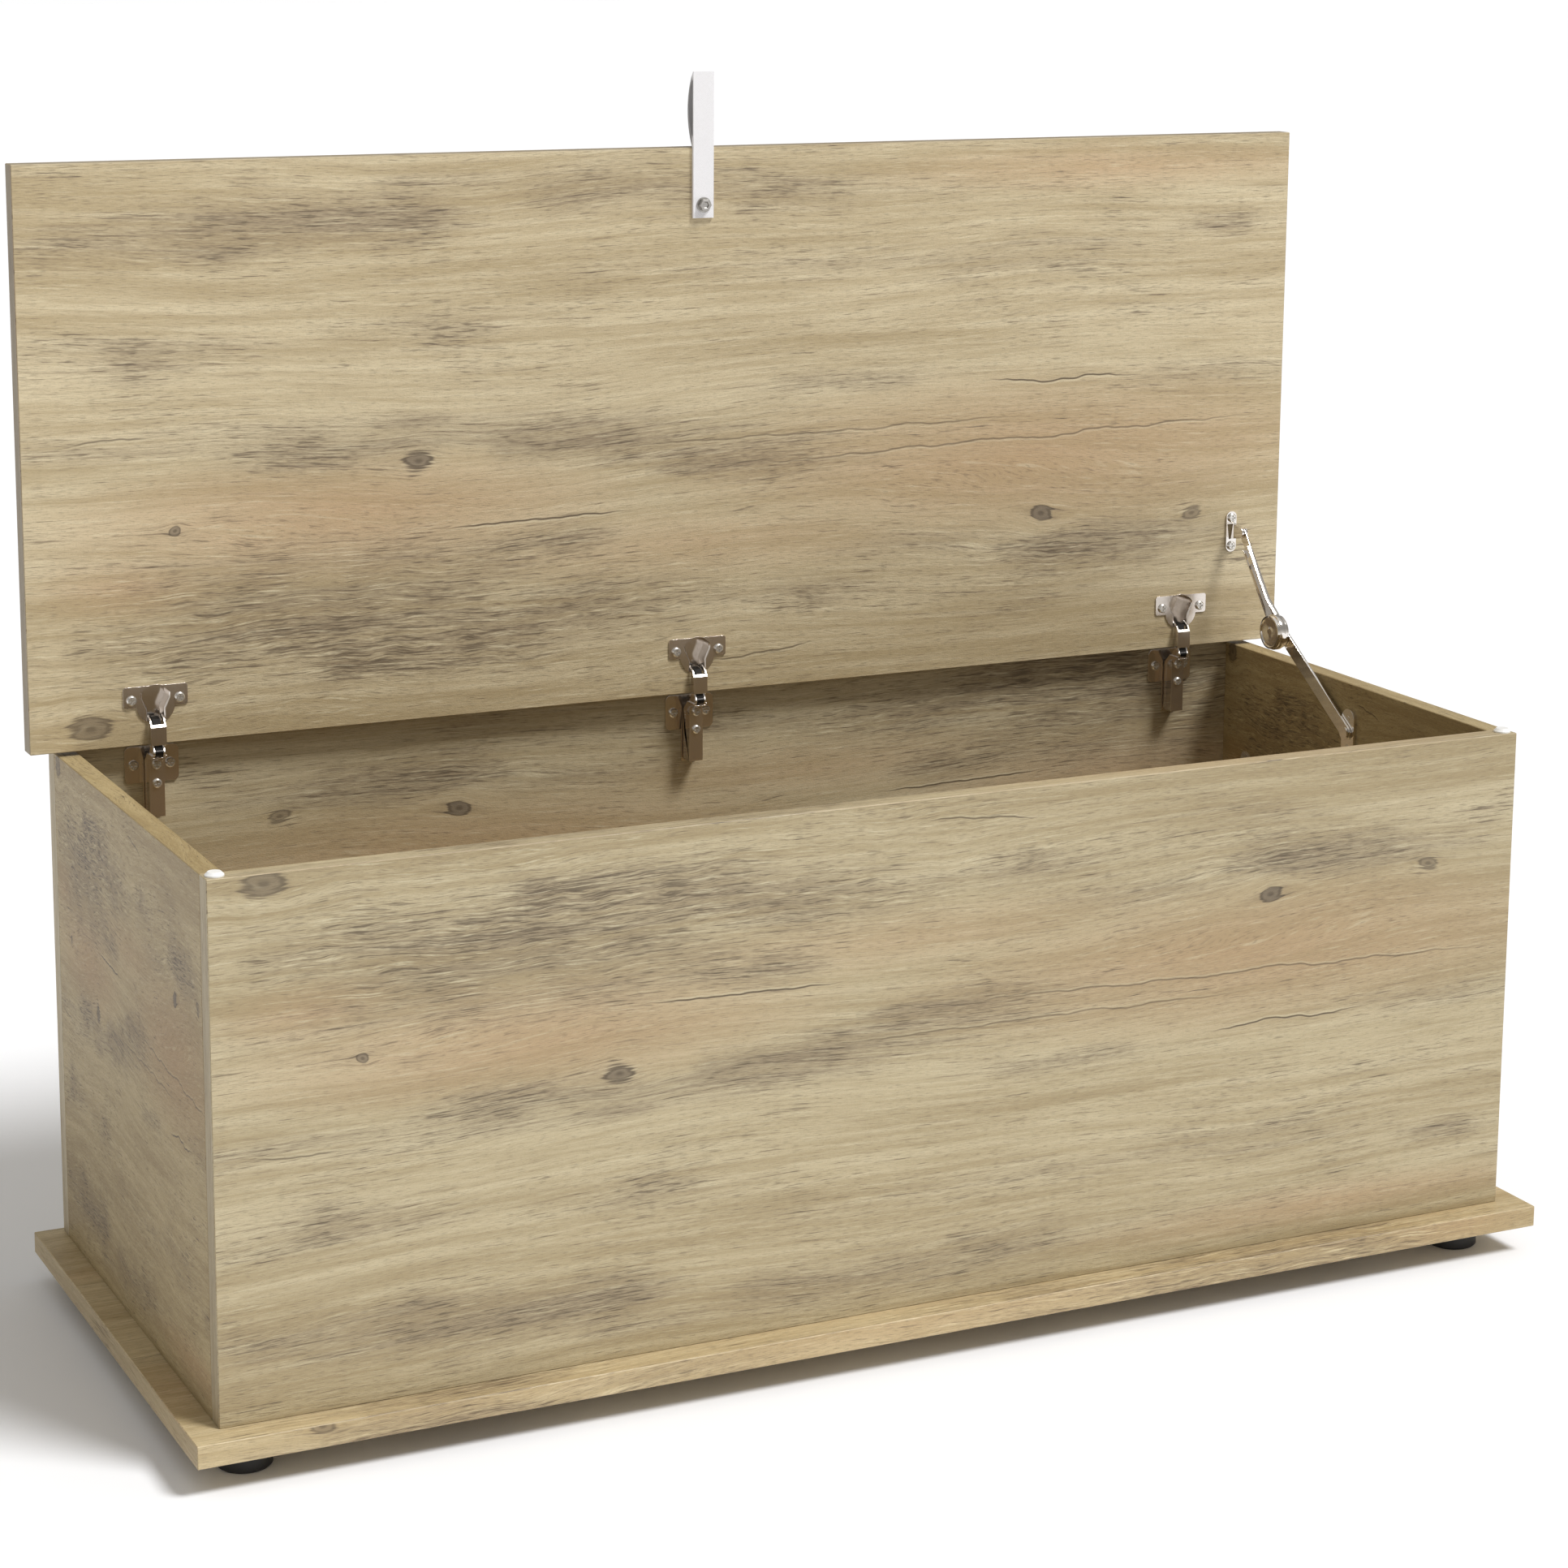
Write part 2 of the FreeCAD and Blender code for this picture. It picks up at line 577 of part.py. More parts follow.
def hinge_hook(name, x):
    """The inner link: a stack of hooked leaves that reaches round the lid's edge into the cup."""
    outline = [
        ("hook_arm_y - hook_arm_eye", "hook_arm_z"), wall("-hook_front", "hook_rise"),
        wall("-hook_front", "hook_bend"), wall("-hook_neck_front", "hook_neck_top"),
        ("hook_cup_y", "hook_cup_z + hook_cup_eye"), ("hook_cup_y", "hook_cup_z - hook_cup_eye"),
        ("lid_face - hook_back", "hook_cup_z - hook_cup_eye"), ("lid_face - hook_back", "lid_bottom"),
        ("hook_arm_y + hook_arm_eye", "hook_arm_z"),
    ]
    leaves = []
    for leaf in range(leaf_count):
        share = "(%s - hook_half + %d * (2 * hook_half + hook_leaf_gap) / %d)" % (x, leaf, leaf_count)
        wide = (share, "%s + (2 * hook_half + hook_leaf_gap) / %d - hook_leaf_gap" % (share, leaf_count))
        part_name = "%s_leaf%d" % (name, leaf)
        plate = prism(part_name + "_plate", "x", outline, *wide)
        arm_eye = rod(part_name + "_arm_eye", "x", "hook_arm_eye", wide[0], wide[1],
                      ("hook_arm_y", "hook_arm_z"))
        cup_eye = rod(part_name + "_cup_eye", "x", "hook_cup_eye", wide[0], wide[1],
                      ("hook_cup_y", "hook_cup_z"))
        hole = rod(part_name + "_hole", "x", "hook_pin_radius + running_play", wide[0], wide[1],
                   ("hook_arm_y", "hook_arm_z"))
        leaves.append(cut(part_name, fuse(part_name + "_blank", plate, arm_eye, cup_eye), hole))
    rivet = rod(name + "_rivet", "x", "hook_rivet", "%s - hook_rivet_half" % x,
                "%s + hook_rivet_half" % x, ("hook_cup_y", "hook_cup_z"))
    return fuse(name, rivet, *leaves)


def hinge_arm(name, x, pins, hook_pin, screws):
    """The arm on its rail: a folded channel with a stepped nose and two pairs of pivot eyes."""
    low = "rim - arm_length - arm_top"
    front = "arm_face"
    nose = "back_inside - arm_nose"
    rear = "back_inside - arm_back"
    outline = [
        (front, low), (front, "rim - arm_bend_down"), (nose, "rim - arm_nose_down"),
        (nose, "rim - arm_top"), ("back_inside - arm_shoulder_in", "rim - arm_top"),
        (rear, "rim - arm_rear_down"), (rear, low),
    ]
    wide = ("%s - arm_half" % x, "%s + arm_half" % x)
    channel = prism(name + "_channel", "x", outline, *wide)
    inner_front = "arm_face + arm_sheet"
    hollow_outline = [
        (inner_front, "%s - overrun" % low), (inner_front, "rim - arm_bend_down + arm_sheet"),
        ("%s - overrun" % nose, "rim - arm_nose_down + arm_sheet"),
        ("%s - overrun" % nose, "rim - arm_top + overrun"),
        ("%s + overrun" % rear, "rim - arm_top + overrun"), ("%s + overrun" % rear, "%s - overrun" % low),
    ]
    hollow = prism(name + "_hollow", "x", hollow_outline, "%s - arm_inner" % x, "%s + arm_inner" % x)
    folded = cut(name + "_folded", channel, hollow)
    ear_outline = [
        ("arm_pivot_y - ear_arm_eye", "arm_pivot_z"), ("hook_arm_y - hook_arm_eye", "hook_arm_z"),
        (nose, "rim - arm_nose_down + arm_sheet"),
        ("back_inside - ear_heel_in", "rim - arm_nose_down - ear_heel_down"),
        ("back_inside - ear_heel_in", "rim - ear_heel_down"),
        ("back_inside - ear_shoulder_in", "rim + ear_shoulder_up"),
        ("arm_pivot_y + ear_arm_eye", "arm_pivot_z"),
    ]
    parts = [folded]
    for hand, sign in (("left", "-"), ("right", "+")):
        wide = ["%s %s ear_inner" % (x, sign), "%s %s arm_inner" % (x, sign)]
        if sign == "-":
            wide.reverse()
        ear_name = "%s_ear_%s" % (name, hand)
        ear = prism(ear_name, "x", ear_outline, *wide)
        high_eye = rod(ear_name + "_high_eye", "x", "ear_arm_eye", wide[0], wide[1],
                       ("arm_pivot_y", "arm_pivot_z"))
        low_eye = rod(ear_name + "_low_eye", "x", "hook_arm_eye", wide[0], wide[1],
                      ("hook_arm_y", "hook_arm_z"))
        parts += [ear, high_eye, low_eye]
    notches = []
    for step in range(int(number("(arm_length + arm_top - notch_first_down) / notch_pitch"))):
        top = "rim - notch_first_down - %d * notch_pitch" % step
        notches.append(box("%s_notch%d" % (name, step),
                           ("%s - arm_half - notch_depth" % x, "%s - arm_half + notch_depth" % x),
                           ("arm_face + notch_in", "arm_face + notch_in + notch_width"),
                           ("%s - notch_pitch / 2" % top, top)))
    notches = group_of(name + "_notches", notches)
    return cut(name, fuse(name + "_whole", *parts), pins, hook_pin, screws, notches)


def hinge_plate(name, x, plate_screws, arm_screws):
    """The winged plate on the back panel, with the rail that the arm sits on."""
    wing = box(name + "_wing", ("%s - wing_width / 2" % x, "%s + wing_width / 2" % x),
               ("plate_face", "back_inside"), ("rim - wing_down - wing_height", "rim - wing_down"))
    wing = rounded(name + "_wing_rounded", wing, "y", "wing_corner")
    tongue = box(name + "_tongue", ("%s - tongue_width / 2" % x, "%s + tongue_width / 2" % x),
                 ("plate_face", "back_inside"),
                 ("rim - wing_down - wing_height - tongue_length", "rim - wing_down - wing_height"))
    rail = box(name + "_rail", ("%s - arm_inner + side_play" % x, "%s + arm_inner - side_play" % x),
               ("arm_face + arm_sheet", "plate_face"), ("rim - rail_down - rail_height", "rim - rail_down"))
    parts = [wing, tongue, rail]
    return cut(name, fuse(name + "_whole", *parts), plate_screws, arm_screws)


def hinge(side, x):
    """One concealed hinge and its small fixings, about its own X."""
    name = "hinge_" + side
    arm_pins, cup_pins, cup_screws, plate_screws = [], [], [], []
    for hand, sign in (("left", "-"), ("right", "+")):
        reach = ["%s %s ear_inner" % (x, sign), "%s %s (link_half + side_play)" % (x, sign)]
        seat = ["%s %s (link_inner - side_play)" % (x, sign), "%s %s (neck_half + flange_sheet)" % (x, sign)]
        if sign == "-":
            reach.reverse()
            seat.reverse()
        arm_pins.append(rod("%s_arm_pin_%s" % (name, hand), "x", "pin_radius", reach[0], reach[1],
                            ("arm_pivot_y", "arm_pivot_z")))
        cup_pins.append(rod("%s_cup_pin_%s" % (name, hand), "x", "pin_radius", seat[0], seat[1],
                            ("cup_pivot_y", "cup_pivot_z")))
        cup_screws.append(screw("%s_cup_screw_%s" % (name, hand), "y",
                                ("%s %s cup_screw_x" % (x, sign), "lid_face - flange_sheet",
                                 "lid_bottom + cup_screw_up"), "screw_head_radius", "screw_head_height",
                                "screw_head_edge", "screw_radius", "screw_bite"))
        plate_screws.append(screw("%s_plate_screw_%s" % (name, hand), "y",
                                  ("%s %s plate_screw_x" % (x, sign), "plate_face",
                                   "rim - plate_screw_down"), "screw_head_radius", "screw_head_height",
                                  "screw_head_edge", "screw_radius", "screw_bite"))
    hook_pin = rod(name + "_hook_pin", "x", "hook_pin_radius", "%s - link_inner" % x, "%s + link_inner" % x,
                   ("hook_arm_y", "hook_arm_z"))
    arm_screws = []
    for level in ("high", "low"):
        arm_screws.append(screw("%s_arm_screw_%s" % (name, level), "y",
                                (x, "arm_face", "rim - %s_screw_down" % level), "arm_screw_head",
                                "arm_screw_head_height", "screw_head_edge", "arm_screw_radius",
                                "arm_screw_bite"))
    cup_pins_here = group_of(name + "_cup_pins_here", cup_pins)
    arm_pins_here = group_of(name + "_arm_pins_here", arm_pins)
    arm_screws_here = group_of(name + "_arm_screws_here", arm_screws)
    plate_screws_here = group_of(name + "_plate_screws_here", plate_screws)
    cup_screws_here = group_of(name + "_cup_screws_here", cup_screws)
    cup = hinge_cup("cup_" + side, x, cup_pins_here)
    node("hinge_cup_" + side, cut("cup_seated_" + side, cup, cup_screws_here))
    node("hinge_outer_link_" + side, hinge_link("outer_link_" + side, x))
    node("hinge_inner_link_" + side, hinge_hook("inner_link_" + side, x))
    node("hinge_arm_" + side, hinge_arm("arm_" + side, x, arm_pins_here, hook_pin, arm_screws_here))
    node("hinge_plate_" + side, hinge_plate("plate_" + side, x, plate_screws_here, arm_screws_here))
    bore = rod(name + "_lid_bore", "y", "cup_radius + bore_play", "lid_face",
               "lid_face + cup_depth + bore_play", (x, "cup_z"))
    return {"arm_pins": arm_pins + [hook_pin], "cup_pins": cup_pins, "cup_screws": cup_screws,
            "plate_screws": plate_screws, "arm_screws": arm_screws, "bore": bore}


def strip(name, start, end, low, high, offsets, trims):
    """A straight bar between two places in Y and Z, at offsets to its side and trimmed at its ends."""
    run = ("((%s) - (%s))" % (end[0], start[0]), "((%s) - (%s))" % (end[1], start[1]))
    length = "sqrt(%s ^ 2 + %s ^ 2)" % run
    corners = []
    for trim, offset in ((0, 0), (1, 0), (1, 1), (0, 1)):
        base = start if trim == 0 else end
        push = trims[0] if trim == 0 else "-(%s)" % trims[1]
        corners.append((
            "%s + ((%s) * %s - (%s) * %s) / %s" % (base[0], push, run[0], offsets[offset], run[1], length),
            "%s + ((%s) * %s + (%s) * %s) / %s" % (base[1], push, run[1], offsets[offset], run[0], length),
        ))
    return prism(name, "x", corners, low, high)


def on_arm(reach, offset):
    """A point beside the stay's upper arm, in Y and Z: its reach from the hub and its offset to the front."""
    run = ("(stay_lid_y - hub_y)", "(stay_lid_z - hub_z)")
    length = "sqrt(%s ^ 2 + %s ^ 2)" % run
    return ("hub_y + ((%s) * %s - (%s) * %s) / %s" % (reach, run[0], offset, run[1], length),
            "hub_z + ((%s) * %s + (%s) * %s) / %s" % (reach, run[1], offset, run[0], length))


def stay():
    """The folding stay on the right: side bracket, flat lower arm, friction hub, channelled upper arm."""
    side_pivot = ("stay_side_y", "stay_side_z")
    hub = ("hub_y", "hub_z")
    lid_pivot = ("stay_lid_y", "stay_lid_z")
    strip_end = "strip_x + strip_sheet"

    side_screws = []
    for level, sign in (("low", "-"), ("high", "+")):
        side_screws.append(screw("stay_side_screw_" + level, "x",
                                 ("side_bracket_x", "stay_side_y", "stay_side_z %s side_screw_reach" % sign),
                                 "stay_play + screw_radius", "stay_play", "stay_play / 2",
                                 "screw_radius", "screw_bite", False))
    side_screws = group_of("stay_side_screws", side_screws)
    pin_low = "strip_x - stay_play - stay_pin_head_height"
    side_pin = fuse("stay_side_pin_joined",
                    rod("stay_side_pin", "x", "stay_pin_radius", pin_low, "side_bracket_x + stay_play",
                        side_pivot),
                    rod("stay_side_pin_head", "x", "stay_pin_head", pin_low, "strip_x - stay_play",
                        side_pivot))
    bracket = box("side_bracket_blank", ("side_bracket_x", "side_inside"),
                  ("stay_side_y - side_bracket_half", "stay_side_y + side_bracket_half"),
                  ("stay_side_z - side_bracket_reach", "stay_side_z + side_bracket_reach"))
    bracket = rounded("side_bracket_rounded", bracket, "x", "side_bracket_half - stay_play")
    node("stay_side_bracket", cut("side_bracket", bracket, side_screws, side_pin))
    node("stay_side_bracket_screws", side_screws)
    node("stay_side_pivot_rivet", side_pin)

    bar = strip("lower_bar", side_pivot, hub, "strip_x", strip_end, ("-strip_half", "strip_half"), ("0", "0"))
    side_eye = rod("lower_side_eye", "x", "strip_half", "strip_x", strip_end, side_pivot)
    hub_eye = rod("lower_hub_eye", "x", "strip_hub_radius", "strip_x", strip_end, hub)
    hole = rod("lower_hole", "x", "stay_pin_radius + running_play", "strip_x", strip_end, side_pivot)
    node("stay_lower_arm", cut("lower_arm", fuse("lower_blank", bar, side_eye, hub_eye), hole))

    web_end = "channel_x + channel_sheet"
    open_side = "channel_x - channel_depth + channel_sheet"
    web = strip("upper_web", lid_pivot, hub, "channel_x", web_end, ("-channel_half", "channel_half"),
                ("0", "0"))
    web_eye = rod("upper_lid_eye", "x", "channel_half", "channel_x", web_end, lid_pivot)
    web_disc = rod("upper_hub_disc", "x", "friction_radius", "channel_x", web_end, hub)
    flare = [on_arm("flare_reach", "channel_half"), on_arm("flare_foot", "flare_width"), on_arm("0", "0")]
    flanges = [prism("upper_flare", "x", flare, "channel_x", web_end),
               strip("upper_flare_wall", flare[0], flare[1], open_side, "channel_x",
                     ("0", "channel_sheet"), ("0", "0"))]
    for hand, offsets, stop in (("front", ("-channel_half", "channel_sheet - channel_half"),
                                  "flare_reach - channel_sheet"),
                                 ("rear", ("channel_half - channel_sheet", "channel_half"),
                                  "hub_radius - channel_sheet")):
        flanges.append(strip("upper_flange_" + hand, lid_pivot, hub, open_side, "channel_x", offsets,
                             ("channel_start", stop)))
    catch = strip("upper_catch", lid_pivot, hub, "channel_x - catch_height", "channel_x",
                  ("-channel_half + channel_sheet", "channel_half - channel_sheet"),
                  ("catch_reach", "sqrt((hub_y - stay_lid_y) ^ 2 + (hub_z - stay_lid_z) ^ 2) - catch_reach"
                                  " - catch_length"))
    keep_out = rod("hub_room", "x", "hub_radius", open_side, "channel_x", hub)
    folded = fuse("upper_folded", web, web_eye, web_disc, catch, *flanges)
    rivet = hub_rivet(hub)
    pin_hole = rod("upper_pin_hole", "x", "lid_pin_radius + running_play", "channel_x", web_end, lid_pivot)
    node("stay_upper_arm", cut("upper_arm", folded, keep_out, pin_hole, rivet))

    housing = turned("housing_turned", "x", [
        ("0", "0"), ("hub_radius - housing_edge", "0"), ("hub_radius", "housing_edge"),
        ("hub_radius", "housing_depth"), ("0", "housing_depth")], ("housing_x", "hub_y", "hub_z"))
    node("stay_hub_housing", cut("hub_housing", housing, rivet))
    cap = turned("cap_turned", "x", [
        ("0", "cap_depth - cap_floor"), ("hub_rivet_head", "cap_depth - cap_floor"),
        ("hub_radius - cap_ring - cap_floor", "cap_floor"), ("hub_radius - cap_ring", "0"),
        ("hub_radius - housing_edge", "0"), ("hub_radius - housing_edge / 2", "cap_depth"),
        ("0", "cap_depth")], ("housing_x - cap_depth", "hub_y", "hub_z"))
    node("stay_hub_cap", cut("hub_cap", cap, rivet))
    wave = rod("wave_blank", "x", "wave_radius", "wave_x", "channel_x", hub)
    node("stay_wave_washer", cut("wave_washer", wave, rivet))
    disc = rod("friction_blank", "x", "friction_radius", "friction_x", "friction_x + friction_sheet", hub)
    node("stay_friction_disc", cut("friction_disc", disc, rivet))
    node("stay_hub_rivet", rivet)

    lid_screws = []
    for level in ("low", "high"):
        lid_screws.append(screw("stay_lid_screw_" + level, "y",
                                ("lid_bracket_mid", "lid_face - lid_bracket_sheet",
                                 "lid_bottom + lid_screw_" + level),
                                "screw_head_radius", "screw_head_height", "screw_head_edge", "screw_radius",
                                "screw_bite"))
    lid_screws = group_of("stay_lid_screws", lid_screws)
    lid_pin_end = "friction_x + stay_play + lid_pin_head_height"
    lid_pin = fuse("stay_lid_pin_joined",
                   rod("stay_lid_pin", "x", "lid_pin_radius", "lid_ear_x", lid_pin_end, lid_pivot),
                   rod("stay_lid_pin_head", "x", "lid_pin_head", "friction_x + stay_play", lid_pin_end,
                       lid_pivot))
    foot = box("lid_bracket_foot",
               ("lid_bracket_mid - lid_bracket_width / 2", "lid_bracket_mid + lid_bracket_width / 2"),
               ("lid_face - lid_bracket_sheet", "lid_face"),
               ("lid_bottom + lid_bracket_low", "lid_bottom + lid_bracket_high"))
    foot = rounded("lid_bracket_foot_rounded", foot, "y", "lid_bracket_width / 2 - stay_play")
    ear_end = "lid_ear_x + lid_ear_sheet"
    ear = prism("lid_bracket_ear", "x", [
        ("stay_lid_y", "stay_lid_z - lid_ear_radius"), ("lid_face", "stay_lid_z - lid_ear_foot"),
        ("lid_face", "stay_lid_z + lid_ear_foot"), ("stay_lid_y", "stay_lid_z + lid_ear_radius")],
        "lid_ear_x", ear_end)
    ear_eye = rod("lid_bracket_eye", "x", "lid_ear_radius", "lid_ear_x", ear_end, lid_pivot)
    wedge = prism("lid_bracket_wedge", "y", [
        ("lid_ear_x - wedge_narrow", "lid_bottom + wedge_low"), ("lid_ear_x", "lid_bottom + wedge_low"),
        ("lid_ear_x", "lid_bottom + wedge_high"), ("lid_ear_x - wedge_wide", "lid_bottom + wedge_high")],
        "lid_face - lid_bracket_sheet - overrun", "lid_face")
    bracket = fuse("lid_bracket_whole", cut("lid_bracket_open", foot, wedge), ear, ear_eye)
    node("stay_lid_bracket", cut("lid_bracket", bracket, lid_screws, lid_pin))
    node("stay_lid_bracket_screws", lid_screws)
    node("stay_lid_pivot_pin", lid_pin)
    return side_screws, lid_screws


def hub_rivet(hub):
    """The rivet through the hub's discs, with a low domed head at the front."""
    shank = rod("hub_rivet_shank", "x", "hub_rivet_radius", "housing_x - cap_floor",
                "friction_x + friction_sheet", hub)
    head = turned("hub_rivet_head", "x", [
        ("0", "0"), ("hub_rivet_radius", "0"), ("hub_rivet_head", "hub_rivet_rise"), ("0", "hub_rivet_rise")],
        ("housing_x - cap_floor - hub_rivet_rise", "hub_y", "hub_z"))
    return fuse("hub_rivet_joined", shank, head)


def pull_strap():
    """The looped pull strap: two layers bolted to the lid, the rear one bowed out past its edge."""
    split = "lid_top + strap_split"
    bow = "strap_top - strap_tip"
    chord = "(strap_top - lid_top)"
    outer = "((%s ^ 2) / 4 + (strap_swell + strap_sheet) ^ 2) / (2 * (strap_swell + strap_sheet))" % chord
    gap = "(strap_top - strap_tip - lid_top - strap_split)"
    inner = "((%s ^ 2) / 4 + strap_swell ^ 2) / (2 * strap_swell)" % gap
    half = ("-strap_width / 2", "strap_width / 2")
    whole = prism("strap_whole", "x", [
        ("strap_face", "lid_top - strap_end"), ("lid_face", "lid_top - strap_end"),
        ("lid_face", "lid_top", outer), ("strap_middle", "strap_top"), ("strap_face", "strap_top")], *half)
    eye = prism("strap_eye", "x", [
        ("strap_middle", split, inner), ("strap_middle", bow)],
        "-strap_width / 2 - overrun", "strap_width / 2 + overrun")
    fixing = ("0", "strap_bolt_z")
    washer_face = "strap_face - washer_sheet"
    head = doc.addObject("Part::Prism", "bolt_head")
    head.Polygon = 6
    head.Placement = Placement(Vector(), along["y"])
    tie(head, "Circumradius", "strap_bolt_head")
    tie(head, "Height", "strap_bolt_head_height")
    tie_place(head, ("0", "%s - strap_bolt_head_height" % washer_face, "strap_bolt_z"))
    shank = rod("bolt_shank", "y", "strap_bolt_radius", washer_face, "lid_face + strap_bolt_bite", fixing)
    bolt = fuse("strap_bolt_joined", head, shank)
    washer = rod("washer_blank", "y", "washer_radius", washer_face, "strap_face", fixing)
    sleeve = rod("insert_blank", "y", "insert_radius", "lid_face", "lid_face + insert_length", fixing)
    node("pull_strap", cut("strap_bored", whole, eye, bolt))
    node("strap_washer", cut("washer_bored", washer, bolt))
    node("strap_insert", cut("insert_bored", sleeve, bolt))
    node("strap_bolt", bolt)
    return sleeve


def chest():
    """The boards, drilled by the fittings that they carry."""
    dowels, cams, bolts, cam_bores = corner_fasteners()
    screws = base_screws()
    made_feet, foot_screws = feet()
    hinge_places = {"left": "-hinge_side_x", "middle": "hinge_middle_x", "right": "hinge_side_x"}
    hinge_sets = [hinge(side, x) for side, x in hinge_places.items()]
    gathered = {}
    for kind in ("arm_pins", "cup_pins", "cup_screws", "plate_screws", "arm_screws"):
        gathered[kind] = group_of(kind, [item for one in hinge_sets for item in one[kind]])
    bores = group_of("cup_bores", [one["bore"] for one in hinge_sets])
    side_screws, lid_screws = stay()
    sleeve = pull_strap()

    base = blank("base_blank", ("-half_base", "half_base"), ("-half_depth", "half_depth"),
                 ("foot_height", "floor_top"), "XY")
    node("base_board", cut("base", base, screws, foot_screws))
    tall = ("floor_top", "rim")
    wide = ("-half_width", "half_width")
    front = blank("front_blank", wide, ("front_face", "front_inside"), tall, "XZ")
    node("front_panel", cut("front", front, dowels, bolts, screws))
    back = blank("back_blank", wide, ("back_inside", "back_face"), tall, "XZ")
    node("back_panel", cut("back", back, dowels, bolts, screws, gathered["plate_screws"]))
    deep = ("front_inside", "back_inside")
    left = blank("left_blank", ("-half_width", "-side_inside"), deep, tall, "YZ")
    node("left_side_panel", cut("left", left, dowels, bolts, cam_bores, screws))
    right = blank("right_blank", ("side_inside", "half_width"), deep, tall, "YZ")
    node("right_side_panel", cut("right", right, dowels, bolts, cam_bores, screws, side_screws))
    lid = blank("lid_blank", ("-half_base", "half_base"), ("lid_face", "back_inside"),
                ("lid_bottom", "lid_top"), "XZ")
    node("lid_panel", cut("lid", lid, bores, gathered["cup_screws"], lid_screws, sleeve))

    node("corner_dowels", dowels)
    node("cam_locks", cams)
    node("cam_bolts", bolts)
    node("base_screws", screws)
    node("foot_screws", foot_screws)
    for label, foot in made_feet:
        node(label, foot)
    node("arm_pivot_pins", gathered["arm_pins"])
    node("cup_pivot_pins", gathered["cup_pins"])
    node("hinge_cup_screws", gathered["cup_screws"])
    node("hinge_plate_screws", gathered["plate_screws"])
    node("hinge_adjusting_screws", gathered["arm_screws"])
    bumper = [
        ("0", "0"), ("bumper_radius", "0"), ("bumper_radius", "lid_gap - bumper_play - bumper_edge"),
        ("bumper_radius - bumper_edge", "lid_gap - bumper_play"), ("0", "lid_gap - bumper_play"),
    ]
    for side, sign in sides:
        place = (sign + "side_middle", "front_face + board / 2", "rim")
        node("bumper_" + side, turned("bumper_turned_" + side, "z", bumper, place))


chest()
doc.recompute()

for thing in doc.Objects:
    if "Invalid" in thing.State or "Error" in thing.State:
        raise RuntimeError("%s did not build: %s" % (thing.Name, thing.State))
for thing in nodes:
    if thing.Shape.isNull() or not thing.Shape.isValid() or not thing.Shape.Solids:
        raise RuntimeError("%s has no sound shape" % thing.Label)

os.makedirs("parts", exist_ok=True)
for thing in nodes:
    thing.Shape.exportStep("parts/%s.step" % thing.Label)
    print("%-28s %2d solids %12.1f mm3" % (thing.Label, len(thing.Shape.Solids), thing.Shape.Volume))
print(len(nodes), "nodes")
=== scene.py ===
import json
import math
import bmesh
import bpy
from mathutils import Matrix, Vector


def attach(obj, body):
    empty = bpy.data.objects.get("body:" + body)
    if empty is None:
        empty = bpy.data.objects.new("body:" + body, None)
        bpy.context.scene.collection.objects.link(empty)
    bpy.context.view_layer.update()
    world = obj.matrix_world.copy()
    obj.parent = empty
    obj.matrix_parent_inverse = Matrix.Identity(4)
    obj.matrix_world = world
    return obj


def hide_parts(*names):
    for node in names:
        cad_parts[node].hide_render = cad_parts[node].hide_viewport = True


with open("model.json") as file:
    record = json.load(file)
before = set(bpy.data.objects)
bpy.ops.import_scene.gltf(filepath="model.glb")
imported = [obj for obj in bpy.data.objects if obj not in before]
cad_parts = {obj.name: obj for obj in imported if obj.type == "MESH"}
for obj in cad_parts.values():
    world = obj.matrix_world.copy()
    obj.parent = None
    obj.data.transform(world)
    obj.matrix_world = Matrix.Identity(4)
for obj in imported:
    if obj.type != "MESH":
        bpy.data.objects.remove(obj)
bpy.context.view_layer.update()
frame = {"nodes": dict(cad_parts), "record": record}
nodes = frame["nodes"]
print("frame loaded:", len(nodes), "nodes")


class Wire:                                   # one output socket, used in sums
    def __init__(self, tree, link):
        self.tree, self.link = tree, link

    def math(self, operation, *values):
        return self.tree.add("ShaderNodeMath", {"operation": operation}, dict(enumerate(values)))

    def __add__(self, other):
        return self.math("ADD", self, other)

    def __sub__(self, other):
        return self.math("SUBTRACT", self, other)

    def __rsub__(self, other):
        return self.math("SUBTRACT", other, self)

    def __mul__(self, other):
        return self.math("MULTIPLY", self, other)

    def __truediv__(self, other):
        return self.math("DIVIDE", self, other)

    def __pow__(self, other):
        return self.math("POWER", self, other)

    __radd__, __rmul__ = __add__, __mul__

    def above(self, low, high):               # 0 at low, 1 at high, soft between
        return self.tree.add("ShaderNodeMapRange", {"interpolation_type": "SMOOTHSTEP"},
                             {"Value": self, "From Min": low, "From Max": high})

    def size(self):
        return self.math("ABSOLUTE", self)

    def most(self, other):
        return self.math("MAXIMUM", self, other)

    def least(self, other):
        return self.math("MINIMUM", self, other)


